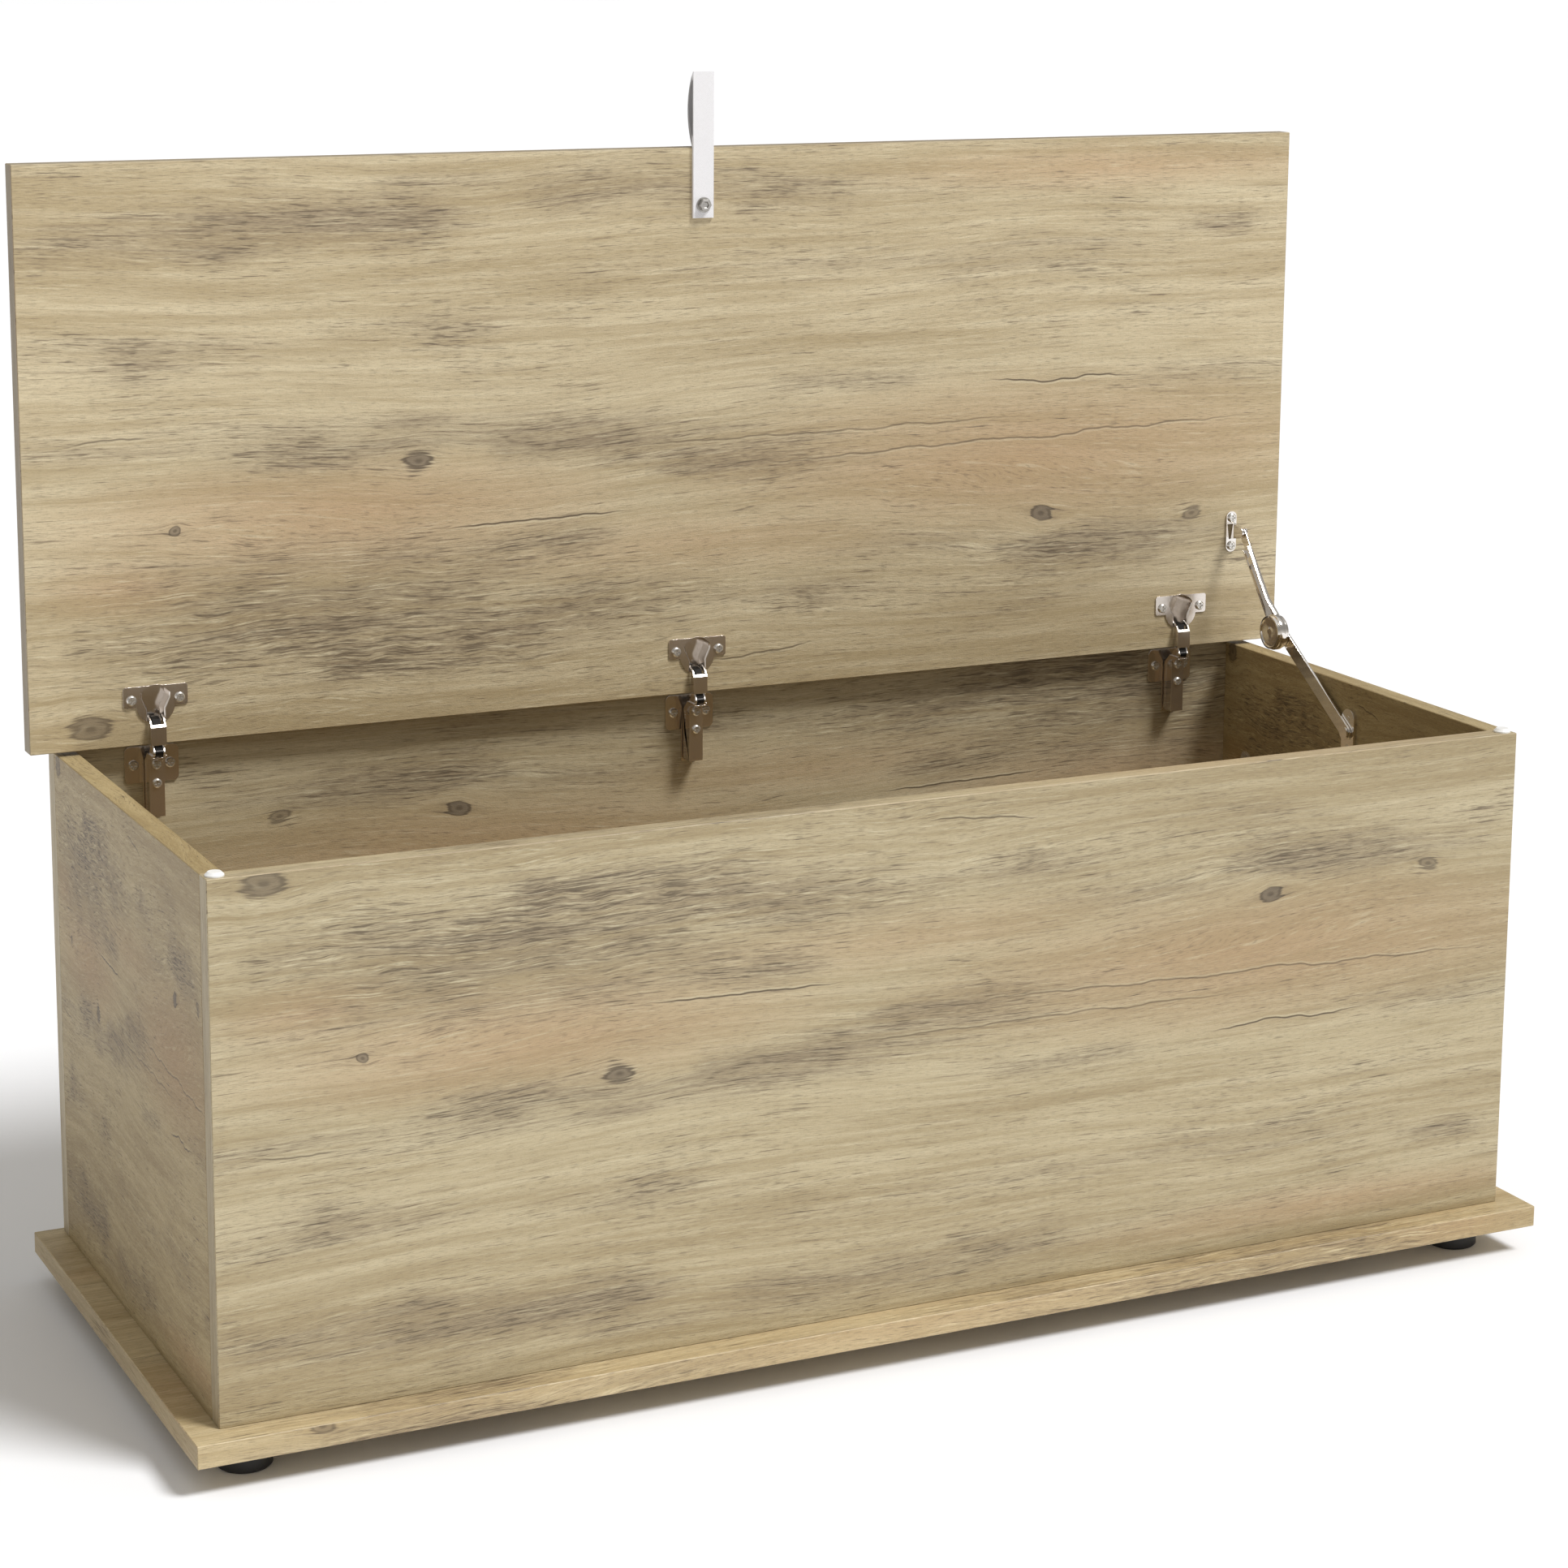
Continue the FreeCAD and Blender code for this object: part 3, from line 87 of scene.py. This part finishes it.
class Tree:                                   # the nodes of a material or of the world
    def __init__(self, tree):
        self.nodes, self.links = tree.nodes, tree.links

    def add(self, kind, settings, sockets, output=0):
        node = self.nodes.new(kind)
        for setting, value in settings.items():
            setattr(node, setting, value)
        for socket, value in sockets.items():
            if isinstance(value, Wire):
                self.links.new(value.link, node.inputs[socket])
            else:
                node.inputs[socket].default_value = value
        return Wire(self, node.outputs[output])

    def place(self, output="Object"):
        return self.add("ShaderNodeTexCoord", {}, {}, output)

    def split(self, vector):
        return [self.add("ShaderNodeSeparateXYZ", {}, {0: vector}, axis) for axis in range(3)]

    def join(self, x, y, z=0.0):
        return self.add("ShaderNodeCombineXYZ", {}, {0: x, 1: y, 2: z})

    def noise(self, vector, scale, detail=2.0, roughness=0.5):
        return self.add("ShaderNodeTexNoise", {},
                        {"Vector": vector, "Scale": scale, "Detail": detail, "Roughness": roughness})

    def mix(self, share, first, second, blend="MIX"):
        return self.add("ShaderNodeMix", {"data_type": "RGBA", "blend_type": blend},
                        {0: share, 6: first, 7: second}, 2)

    def lerp(self, share, first, second):
        return self.add("ShaderNodeMix", {"data_type": "FLOAT"}, {0: share, 2: first, 3: second})

    def patch(self, vector, middle, radii, turn=0.0):     # 1 in the middle, 0 at the ellipse
        lie = self.add("ShaderNodeMapping", {"vector_type": "TEXTURE"},
                       {"Vector": vector, "Location": (*middle, 0), "Scale": (*radii, 1),
                        "Rotation": (0, 0, turn)})
        return self.add("ShaderNodeTexGradient", {"gradient_type": "SPHERICAL"}, {0: lie}, 1)

    def bump(self, height, distance, strength):
        return self.add("ShaderNodeBump", {},
                        {"Strength": strength, "Distance": distance, "Height": height})


class Paint(Tree):                            # one material
    def __init__(self, name, **fixed):
        self.material = bpy.data.materials.new(name)
        self.material.use_nodes = True
        super().__init__(self.material.node_tree)
        self.shader = self.nodes["Principled BSDF"]
        for socket, value in fixed.items():
            self.shader.inputs[socket.replace("_", " ")].default_value = value

    def feed(self, **varying):
        for socket, wire in varying.items():
            self.links.new(wire.link, self.shader.inputs[socket.replace("_", " ")])
        return self.material


def tone(red, green, blue):                   # a 0..255 tone as linear light
    parts = [channel / 255 for channel in (red, green, blue)]
    return (*[part / 12.92 if part <= 0.04045 else ((part + 0.055) / 1.055) ** 2.4 for part in parts], 1.0)


def darker(colour, share):
    return (*[part * share for part in colour[:3]], 1.0)


# weathered oak decor, one printed sheet for all boards
oak = {
    "pale": tone(222, 208, 174), "tan": tone(186, 168, 131), "warm": tone(201, 167, 128),
    "grey": tone(144, 126, 101), "line": tone(92, 79, 62), "light": tone(236, 226, 194),
    "knot": tone(122, 110, 94),
    "drift": 0.045,                           # slow wander of the grain, in metres
    "bend": 0.8,                              # how fully it goes round knots and eyes
    "ripple": (0.0025, 0.0085),               # its ripple in calm and in wavy places, in metres
    "mottle": (0.012, 0.016),                 # how far the marks' outlines stray, along and up
    "banding": 0.27, "bandGrey": 0.3,         # where on the sheet the edge bands are cut, and their grey
    "grit": (0.52, 0.7, 0.22),                # where the grit shows, is full, and its strength
    "roughness": 0.5, "sheen": 0.25, "relief": 0.00022,
}

# noise of the decor: scale along and across the grain, seed, detail, roughness
layers = {
    "cloud": (8.0, 17.0, 8.0, 3.0, 0.62), "slow": (2.2, 5.0, 3.0, 1.0, 0.5),
    "ripple": (14.0, 45.0, 9.0, 2.0, 0.55), "broad": (1.1, 19.0, 1.0, 2.0, 0.55),
    "middling": (5.0, 130.0, 2.0, 3.0, 0.62), "fibre": (16.0, 430.0, 5.0, 2.0, 0.7),
    "strokes": (42.0, 780.0, 4.0, 2.0, 0.55), "hairs": (130.0, 2300.0, 6.0, 1.0, 0.5),
    "jitter": (26.0, 3.0, 11.0, 2.0, 0.6), "grit": (620.0, 1300.0, 7.0, 2.0, 0.6),
}

# coats over the ground: noise where a coat starts and is full, its strength, and its gain in marks
coats = {
    "greyThreads": (0.54, 0.66, 0.34, 0.25), "lightThreads": (0.46, 0.36, 0.32, 0.3),
    "darkStrokes": (0.63, 0.72, 0.45, 0.2), "darkHairs": (0.54, 0.70, 0.36, 0.12),
}
# a knot's reach and the grain's detour round it, as factors of its radii, and how dark it gets
knot = {"spread": 1.5, "halo": (5.0, 4.5), "fill": 0.75, "ring": 0.42, "deepest": 0.85}
# a crack's waver, its half widths in metres, and how dark the gap and how pale its lip is
crack = {"jitter": 0.009, "width": 0.0007, "tip": 0.00025, "dark": 0.9, "lit": 0.35}

# marks on the sheet, in metres: middle (along, up), radii, strength, turn
sheet = {
    "smudges": [
        ((-0.33, 0.742), (0.30, 0.034), 1.0, 0.05), ((-0.05, 0.760), (0.36, 0.028), 0.75, -0.02),
        ((-0.40, 0.66), (0.14, 0.024), 0.55, 0.0), ((-0.18, 0.668), (0.16, 0.018), 0.4, 0.0),
        ((-0.10, 0.583), (0.24, 0.026), 0.9, -0.06), ((0.03, 0.560), (0.18, 0.022), 0.8, -0.08),
        ((-0.30, 0.478), (0.24, 0.055), 0.95, 0.02), ((-0.14, 0.452), (0.22, 0.04), 0.8, 0.1),
        ((-0.27, 0.438), (0.035, 0.024), 1.0, 0.0), ((0.35, 0.476), (0.17, 0.028), 0.95, 0.04),
        ((0.19, 0.487), (0.14, 0.018), 0.6, 0.0), ((0.43, 0.60), (0.10, 0.022), 0.6, 0.0),
        ((0.08, 0.46), (0.16, 0.022), 0.55, 0.05), ((0.28, 0.43), (0.17, 0.03), 0.5, 0.0),
        ((-0.22, 0.60), (0.05, 0.014), 0.8, 0.0), ((-0.155, 0.577), (0.03, 0.012), 1.0, 0.0),
        ((-0.22, 0.572), (0.05, 0.010), 0.7, 0.0), ((0.285, 0.503), (0.04, 0.008), 0.7, 0.0),
        ((-0.30, 0.59), (0.05, 0.02), 0.7, 0.0), ((0.15, 0.70), (0.35, 0.02), 0.45, 0.0),
        ((-0.25, 0.583), (0.16, 0.02), 0.7, 0.0), ((-0.10, 0.512), (0.05, 0.02), 0.6, 0.0),
        ((-0.44, 0.592), (0.10, 0.016), 0.5, 0.0), ((0.27, 0.71), (0.22, 0.016), 0.45, 0.0),
        ((0.44, 0.72), (0.09, 0.02), 0.6, 0.0), ((0.12, 0.615), (0.16, 0.014), 0.4, 0.0),
    ],
    "warms": [
        ((-0.28, 0.537), (0.24, 0.05), 1.0, 0.0), ((0.28, 0.55), (0.32, 0.07), 0.9, 0.0),
        ((0.0, 0.50), (0.26, 0.03), 0.5, 0.0), ((-0.43, 0.50), (0.08, 0.03), 0.7, 0.0),
        ((0.35, 0.765), (0.25, 0.02), 0.8, 0.0),
    ],
    "wavy": [
        ((-0.32, 0.45), (0.26, 0.10), 1.0, 0.0), ((-0.08, 0.44), (0.24, 0.07), 0.9, 0.0),
        ((0.30, 0.47), (0.2, 0.03), 0.5, 0.0),
    ],
    "knots": [                                # middle, radii, strength
        ((-0.219, 0.572), (0.0125, 0.0075), 1.0), ((0.285, 0.503), (0.009, 0.006), 1.1),
        ((-0.459, 0.401), (0.0155, 0.0105), 0.8), ((-0.395, 0.536), (0.0035, 0.0028), 0.9),
        ((0.42, 0.494), (0.008, 0.005), 0.7),
    ],
    "eyes": [((-0.30, 0.532), (0.20, 0.035)), ((0.24, 0.535), (0.22, 0.03))],
    "cracks": [                               # middle, half length, turn, strength
        ((-0.128, 0.5262), 0.085, 0.02, 1.0), ((0.30, 0.6065), 0.075, -0.005, 1.0),
        ((0.10, 0.577), 0.20, 0.012, 0.6), ((0.26, 0.563), 0.26, 0.03, 0.7),
        ((-0.44, 0.60), 0.035, 0.05, 0.7), ((0.05, 0.415), 0.05, 0.08, 0.8),
    ],
}

# the boards: axes of the grain and of its height, the part of the sheet as stretch and shift along and up,
# a painted shade for how much light falls on each board (with a slight colour cast), and how dark its edges
# are painted as shade
boards = {
    "lid_oak": {"nodes": ["lid_panel"], "grain": 0, "up": 2, "stretch": (1.0, 1.0), "shift": (0.0, 0.0),
                "paintedShade": (0.96, 0.945, 0.93, 1.0), "paintedRimShade": 0.6},
    "front_oak": {"nodes": ["front_panel"], "grain": 0, "up": 2, "stretch": (1.03, -1.1325),
                  "shift": (0.0, 0.8311), "paintedShade": (0.77, 0.76, 0.73, 1.0), "paintedRimShade": 0.0},
    "back_oak": {"nodes": ["back_panel"], "grain": 0, "up": 2, "stretch": (-1.0, -1.1),
                 "shift": (0.1, 0.85), "paintedShade": (0.85, 0.85, 0.85, 1.0), "paintedRimShade": 0.0},
    "side_oak": {"nodes": ["left_side_panel", "right_side_panel"], "grain": 1, "up": 2,
                 "stretch": (-2.7, -1.1325), "shift": (0.0, 0.8311), "paintedShade": (0.62, 0.56, 0.43, 1.0),
                 "paintedRimShade": 0.0},
    "base_oak": {"nodes": ["base_board"], "grain": 0, "up": 1, "stretch": (-1.0, 1.0),
                 "shift": (0.0, 0.66), "paintedShade": (0.88, 0.83, 0.74, 1.0), "paintedRimShade": 0.0},
}


def layer(paint, name, run, rise):
    along, across, seed, detail, roughness = layers[name]
    return paint.noise(paint.join(run * along, rise * across, seed), 1.0, detail, roughness)


def coat(source, name, marks):
    start, full, strength, gain = coats[name]
    return source.above(start, full) * (marks * gain + strength)


def strongest(paint, spot, kind, full=None):  # one mask of all marks of a kind
    best = None
    for middle, radii, strength, turn in sheet[kind]:
        mark = paint.patch(spot, middle, radii, turn)
        if full:
            mark = mark.above(0.0, full)
        mark = mark * strength
        best = best.most(mark) if best else mark
    return best


def bendGrain(paint, run, rise, spot):        # height on the sheet, wandering and going round its marks
    grain = rise + (layer(paint, "slow", run, rise) - 0.5) * oak["drift"]
    for middle, radii in sheet["eyes"]:
        grain = grain - (rise - middle[1]) * (paint.patch(spot, middle, radii) ** 1.5) * oak["bend"]
    for middle, radii, strength in sheet["knots"]:
        reach = [radius * factor for radius, factor in zip(radii, knot["halo"])]
        grain = grain - (rise - middle[1]) * (paint.patch(spot, middle, reach) ** 2.0) * oak["bend"]
    return grain


def drawKnots(paint, colour, spot, ragged, strokes):
    for middle, radii, strength in sheet["knots"]:
        mark = paint.patch(spot, middle, [radius * knot["spread"] for radius in radii])
        fill = (mark * 1.2 + ragged).above(0.2, 0.6)
        colour = paint.mix(fill * knot["fill"] * strength, colour, oak["knot"])
        core = (mark + ragged * 0.4).above(0.7, 0.9)
        ring = (mark + ragged - knot["ring"]).size().above(0.16, 0.02).most(core)
        dark = (ring * (0.3 + strokes * 0.7) * strength).least(knot["deepest"])
        colour = paint.mix(dark, colour, oak["line"])
    return colour


def drawCracks(paint, colour, run, rise):     # a dark gap with a pale lip above it
    jitter = (layer(paint, "jitter", run, rise) - 0.5) * crack["jitter"]
    flat = paint.join(run, rise)
    for middle, reach, turn, strength in sheet["cracks"]:
        part = paint.split(paint.add("ShaderNodeMapping", {"vector_type": "TEXTURE"}, {
            "Vector": flat, "Location": (*middle, 0), "Rotation": (0, 0, turn)}))
        fade = (part[0] / reach).size().above(1.0, 0.5)
        gap = (part[1] - jitter) / (fade * crack["width"] + crack["tip"])
        dark = gap.size().above(1.0, 0.3) * fade * (strength * crack["dark"])
        lip = (gap + 1.5).size().above(1.0, 0.3) * fade * (strength * crack["lit"])
        colour = paint.mix(dark, colour, oak["line"])
        colour = paint.mix(lip, colour, oak["light"])
    return colour


def oakBoard(name, board):
    paint = Paint(name)
    place = paint.split(paint.place())
    facing = paint.split(paint.place("Normal"))
    along, across = board["grain"], board["up"]
    through = 3 - along - across
    end = facing[along].size().above(0.6, 0.8)          # the short edges, banded along their length
    brow = facing[across].size().above(0.6, 0.8)        # the long edges
    run = paint.lerp(end, place[along], place[across])
    rise = paint.lerp(end, place[across] + brow * place[through], place[through] + oak["banding"])
    run = run * board["stretch"][0] + board["shift"][0]
    rise = rise * board["stretch"][1] + board["shift"][1]

    cloud = layer(paint, "cloud", run, rise)
    spot = paint.join(run + (cloud - 0.5) * oak["mottle"][0], rise + (cloud - 0.5) * oak["mottle"][1])
    grain = bendGrain(paint, run, rise, spot)
    wavy = strongest(paint, spot, "wavy", 0.6)
    calm, rough = oak["ripple"]
    grain = grain + (layer(paint, "ripple", run, grain) - 0.5) * (calm + wavy * rough)

    # streaks of rising fineness
    broad = layer(paint, "broad", run, grain)
    middling = layer(paint, "middling", run, grain)
    fibre = layer(paint, "fibre", run, grain)
    strokes = layer(paint, "strokes", run, grain)
    hairs = layer(paint, "hairs", run, grain)

    smudge = strongest(paint, spot, "smudges")
    smudge = smudge * 1.05 + (cloud - 0.5) * 1.3 + (broad - 0.5) * 1.2 + (fibre - 0.5) * 1.2
    smudge = smudge.above(0.0, 1.05)
    warm = strongest(paint, spot, "warms")

    # the ground, then warm bands, grey smudges, threads, strokes and hairs over it
    colour = paint.mix((broad * 0.5 + middling * 0.5).above(0.36, 0.64), oak["tan"], oak["pale"])
    colour = paint.mix((warm * (0.25 + middling * 1.0)).least(0.7), colour, oak["warm"])
    colour = paint.mix(smudge * (0.4 + middling.above(0.35, 0.65) * 0.4), colour, oak["grey"])
    thread = fibre * 0.5 + strokes * 0.5
    colour = paint.mix(coat(thread, "greyThreads", smudge), colour, oak["grey"])
    colour = paint.mix(coat(thread, "lightThreads", wavy), colour, oak["light"])
    dense = (cloud - 0.5) * 0.35 + (middling - 0.5) * 0.3 + smudge * 0.07 + wavy * 0.03
    colour = paint.mix(coat(strokes + dense, "darkStrokes", smudge), colour, oak["line"])
    colour = paint.mix(coat(hairs + dense * 0.5, "darkHairs", smudge), colour, oak["line"])
    colour = paint.mix(hairs.above(0.42, 0.25) * 0.2, colour, oak["light"])

    ragged = (fibre - 0.5) * 0.9 + (cloud - 0.5) * 0.7 + (strokes - 0.5) * 0.5
    colour = drawKnots(paint, colour, spot, ragged, strokes)
    colour = drawCracks(paint, colour, run, rise)

    # edge bands, painted shade on the lid's edges and on each board as a whole, and the fine grit of the
    # pressed surface
    colour = paint.mix(end * oak["bandGrey"], colour, oak["grey"])
    # painted shade: the lid's edges drawn darker, standing in for the shade they lie in
    colour = paint.mix(end.most(brow) * board["paintedRimShade"], colour, oak["line"])
    # painted shade: each board's decor darkened by how little light falls on it, the side panels most
    colour = paint.mix(1.0, colour, board["paintedShade"], "MULTIPLY")
    grit = layer(paint, "grit", run, rise)
    start, full, strength = oak["grit"]
    colour = paint.mix(grit.above(start, full) * strength, colour, oak["grey"])
    return paint.feed(Base_Color=colour, Roughness=oak["roughness"] + (strokes - 0.5) * oak["sheen"],
                      Normal=paint.bump(grit, oak["relief"], 0.8))


for name, board in boards.items():
    decor = oakBoard(name, board)
    for node in board["nodes"]:
        nodes[node].data.materials.clear()
        nodes[node].data.materials.append(decor)
print("oak decor:", len(boards), "kinds of board")

# metal: colour, roughness, how bare it is
plating = {"wear": 60.0, "grain": 900.0, "relief": 0.00001, "worn": 0.8, "share": 0.3,
           "patches": (0.35, 0.75), "spread": 0.12, "fineSpread": 0.06}
metals = {
    "nickel_plate": (tone(228, 220, 212), 0.17, 0.95), "bright_plate": (tone(238, 233, 227), 0.09, 1.0),
    "zinc_plate": (tone(225, 222, 216), 0.26, 0.85), "black_leaves": (tone(46, 44, 43), 0.35, 0.85),
    "brass": (tone(214, 176, 104), 0.28, 0.85), "dull_zinc": (tone(178, 175, 170), 0.3, 0.85),
}


def metal(name):
    colour, roughness, bare = metals[name]
    paint = Paint(name, Metallic=bare)
    place = paint.place()
    wear = paint.noise(place, plating["wear"], 3.0, 0.6)
    fine = paint.noise(place, plating["grain"], 2.0, 0.6)
    patches = wear.above(*plating["patches"]) * plating["share"]
    gloss = roughness + (wear - 0.5) * plating["spread"] + (fine - 0.5) * plating["fineSpread"]
    return paint.feed(Base_Color=paint.mix(patches, colour, darker(colour, plating["worn"])),
                      Roughness=gloss, Normal=paint.bump(fine, plating["relief"], 0.3))


# the pull strap: a twill of fine threads, with painted shade inside its loop, which starts at these depths
strap = {"colour": tone(242, 241, 243), "shadow": tone(150, 148, 148), "roughness": 0.85,
         "pitch": 0.0012, "relief": 0.0001, "fuzz": 900.0, "depth": 0.25,
         "inside": (0.0022, 0.0035), "insideShade": 0.9}


def strapTwill():
    paint = Paint("strap_twill", Roughness=strap["roughness"])
    place = paint.split(paint.place())
    rows = []
    for sign in (1.0, -1.0):
        turns = (place[0] * sign + place[1] + place[2]) * (2 * math.pi / strap["pitch"])
        rows.append(turns.math("SINE", turns))
    weave = rows[0] * 0.6 + rows[1] * 0.4
    fuzz = paint.noise(paint.place(), strap["fuzz"])
    shade = (weave + (fuzz - 0.5) * 1.6).above(-0.2, -1.2)
    face = min(corner[1] for corner in nodes["pull_strap"].bound_box)
    # painted shade: the loop's back leg drawn greyer, standing in for the shade inside the loop
    inside = place[1].above(face + strap["inside"][0], face + strap["inside"][1])
    shadow = (shade * strap["depth"]).most(inside * strap["insideShade"])
    return paint.feed(Base_Color=paint.mix(shadow, strap["colour"], strap["shadow"]),
                      Normal=paint.bump(weave + fuzz * 0.5, strap["relief"], 0.5))


# feet, bumpers and dowels: colour, roughness, scale of the fine grain
solids = {
    "foot_plastic_black": (tone(34, 33, 33), 0.5, 1500.0),
    "bumper_white": (tone(240, 240, 238), 0.45, 1500.0),
    "raw_beech": (tone(206, 178, 138), 0.7, 700.0),
}
moulding = {"cloud": 45.0, "dark": 0.75, "share": 0.3, "spread": 0.15, "relief": 0.00004}


def solid(name):
    colour, roughness, grain = solids[name]
    paint = Paint(name)
    place = paint.place()
    fine = paint.noise(place, grain, 3.0, 0.6)
    soft = paint.noise(place, moulding["cloud"], 3.0)
    shade = paint.mix(soft.above(0.3, 0.8) * moulding["share"], colour, darker(colour, moulding["dark"]))
    return paint.feed(Base_Color=shade, Roughness=roughness + (fine - 0.5) * moulding["spread"],
                      Normal=paint.bump(fine, moulding["relief"], 0.4))


finishes = {
    "nickel_steel": metal("nickel_plate"), "stay_chrome": metal("bright_plate"),
    "zinc_steel": metal("zinc_plate"), "black_steel": metal("black_leaves"), "insert_brass": metal("brass"),
    "foot_plastic": solid("foot_plastic_black"), "bumper_rubber": solid("bumper_white"),
    "dowel_wood": solid("raw_beech"), "strap_webbing": strapTwill(),
}
for label, part in nodes.items():
    for index, slot in enumerate(part.material_slots):
        name = slot.material.name.split(".")[0]
        if name in finishes:
            part.data.materials[index] = finishes[name]
dullZinc = metal("dull_zinc")
for name in ("strap_bolt", "strap_washer"):
    nodes[name].data.materials[0] = dullZinc

# pressed and folded metal has rounded edges: welded copies of these nodes stand for them
pressed = {
    "hinges": ["cup", "outer_link", "arm", "plate"],
    "others": ["stay_upper_arm", "stay_lower_arm", "stay_hub_housing", "stay_lid_bracket",
               "stay_side_bracket", "strap_bolt"],
    "sunk": {"strap_bolt": (0.0022, 0.0012)},           # wall round the hollow in a head, and its depth
    "slope": 0.1,                                       # lean of the hollow's sides, as a share of its wall
    "edge": 0.00028, "steps": 2, "sharp": math.radians(28), "flat": math.radians(0.3), "weld": 0.000001,
}
bodyOf = {node: body for body, names in frame["record"]["behaviour"]["bodies"].items() for node in names}


def pressedPiece(name):
    original = nodes[name]
    shape = bmesh.new()
    shape.from_mesh(original.data)
    bmesh.ops.transform(shape, matrix=original.matrix_world, verts=shape.verts)
    bmesh.ops.remove_doubles(shape, verts=shape.verts, dist=pressed["weld"])
    bmesh.ops.dissolve_limit(shape, angle_limit=pressed["flat"], verts=shape.verts, edges=shape.edges)
    if name in pressed["sunk"]:
        wall, depth = pressed["sunk"][name]
        head = min(shape.faces, key=lambda face: face.calc_center_median().y)
        bmesh.ops.inset_individual(shape, faces=[head], thickness=wall)
        bmesh.ops.inset_individual(shape, faces=[head], thickness=wall * pressed["slope"], depth=-depth)
    for face in shape.faces:                  # only curved walls are shaded smooth
        bends = [edge.calc_face_angle(0.0) for edge in face.edges]
        face.smooth = any(pressed["flat"] < bend < pressed["sharp"] for bend in bends)
    mesh = bpy.data.meshes.new(name + "_pressed")
    shape.to_mesh(mesh)
    shape.free()
    mesh.materials.append(original.material_slots[0].material)
    piece = bpy.data.objects.new(name + "_pressed", mesh)
    bpy.context.scene.collection.objects.link(piece)
    edge = piece.modifiers.new("edge", "BEVEL")
    edge.width, edge.segments = pressed["edge"], pressed["steps"]
    edge.limit_method, edge.angle_limit = "ANGLE", pressed["sharp"]
    edge.harden_normals = True
    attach(piece, bodyOf[name])
    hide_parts(name)


for side in ("left", "middle", "right"):
    for kind in pressed["hinges"]:
        pressedPiece("hinge_%s_%s" % (kind, side))
for name in pressed["others"]:
    pressedPiece(name)
print("pressed metal: rounded edges on the hinges, the stay and the strap's bolt")

# studio: a matte floor, a glow all round and one broad sun
studio = {
    "floor": tone(250, 251, 254), "haze": tone(244, 245, 248), "hazeShare": 0.4, "matte": 0.8,
    "reach": 30.0,
    "horizon": tone(206, 203, 198), "middle": tone(146, 144, 140), "zenith": tone(215, 213, 209),
    "low": (0.02, 0.4), "high": (0.6, 0.95),            # heights between which the glow changes
    "sun": {"towards": (-0.9, 1.1, -2.1), "strength": 2.6, "spread": 0.3},
}
bed = bmesh.new()
bmesh.ops.create_grid(bed, x_segments=1, y_segments=1, size=studio["reach"])
floorMesh = bpy.data.meshes.new("studio_floor")
bed.to_mesh(floorMesh)
bed.free()
floor = bpy.data.objects.new("studio_floor", floorMesh)
bpy.context.scene.collection.objects.link(floor)
floorPaint = Paint("studio_floor_matte", Roughness=studio["matte"])
haze = floorPaint.noise(floorPaint.place(), 3.0, 3.0)
floorMesh.materials.append(floorPaint.feed(
    Base_Color=floorPaint.mix(haze * studio["hazeShare"], studio["floor"], studio["haze"])))

world = bpy.data.worlds.new("studio_light")
bpy.context.scene.world = world
world.use_nodes = True
sky = Tree(world.node_tree)
seen = sky.add("ShaderNodeLightPath", {}, {})           # 1 where the sky itself is in view: plain white
height = sky.split(sky.place("Generated"))[2]
glow = sky.mix(height.above(*studio["low"]), studio["horizon"], studio["middle"])
glow = sky.mix(height.above(*studio["high"]), glow, studio["zenith"])
sky.links.new(sky.mix(seen, glow, (1.0, 1.0, 1.0, 1.0)).link, sky.nodes["Background"].inputs[0])
sun = bpy.data.objects.new("key", bpy.data.lights.new("key", "SUN"))
bpy.context.scene.collection.objects.link(sun)
sun.data.energy, sun.data.angle = studio["sun"]["strength"], studio["sun"]["spread"]
sun.rotation_mode = "QUATERNION"
sun.rotation_quaternion = Vector(studio["sun"]["towards"]).to_track_quat("-Z", "Y")
print("studio set")

# the camera, where the photograph was taken from; pixels and frame are in the photograph's pixels
lens = {"place": (-1.07574, -2.22023, 0.96353), "yaw": 0.4469, "pitch": 0.1899, "roll": 0.0066,
        "pixels": 4469.55, "frame": 1932.0, "sensor": 36.0, "rise": -0.12}
ahead = Vector((math.sin(lens["yaw"]) * math.cos(lens["pitch"]),
                math.cos(lens["yaw"]) * math.cos(lens["pitch"]), -math.sin(lens["pitch"])))
level = Vector((math.cos(lens["yaw"]), -math.sin(lens["yaw"]), 0.0))
upward = level.cross(ahead)
right = level * math.cos(lens["roll"]) + upward * math.sin(lens["roll"])
top = upward * math.cos(lens["roll"]) - level * math.sin(lens["roll"])
camera = bpy.data.objects.new("camera", bpy.data.cameras.new("camera"))
bpy.context.scene.collection.objects.link(camera)
camera.matrix_world = Matrix.Translation(lens["place"]) @ Matrix((right, top, -ahead)).transposed().to_4x4()
camera.data.sensor_width = lens["sensor"]
camera.data.lens = lens["pixels"] / lens["frame"] * lens["sensor"]
camera.data.shift_y = lens["rise"]
bpy.context.scene.camera = camera
bpy.context.scene.view_settings.view_transform = "Standard"
print("camera set")
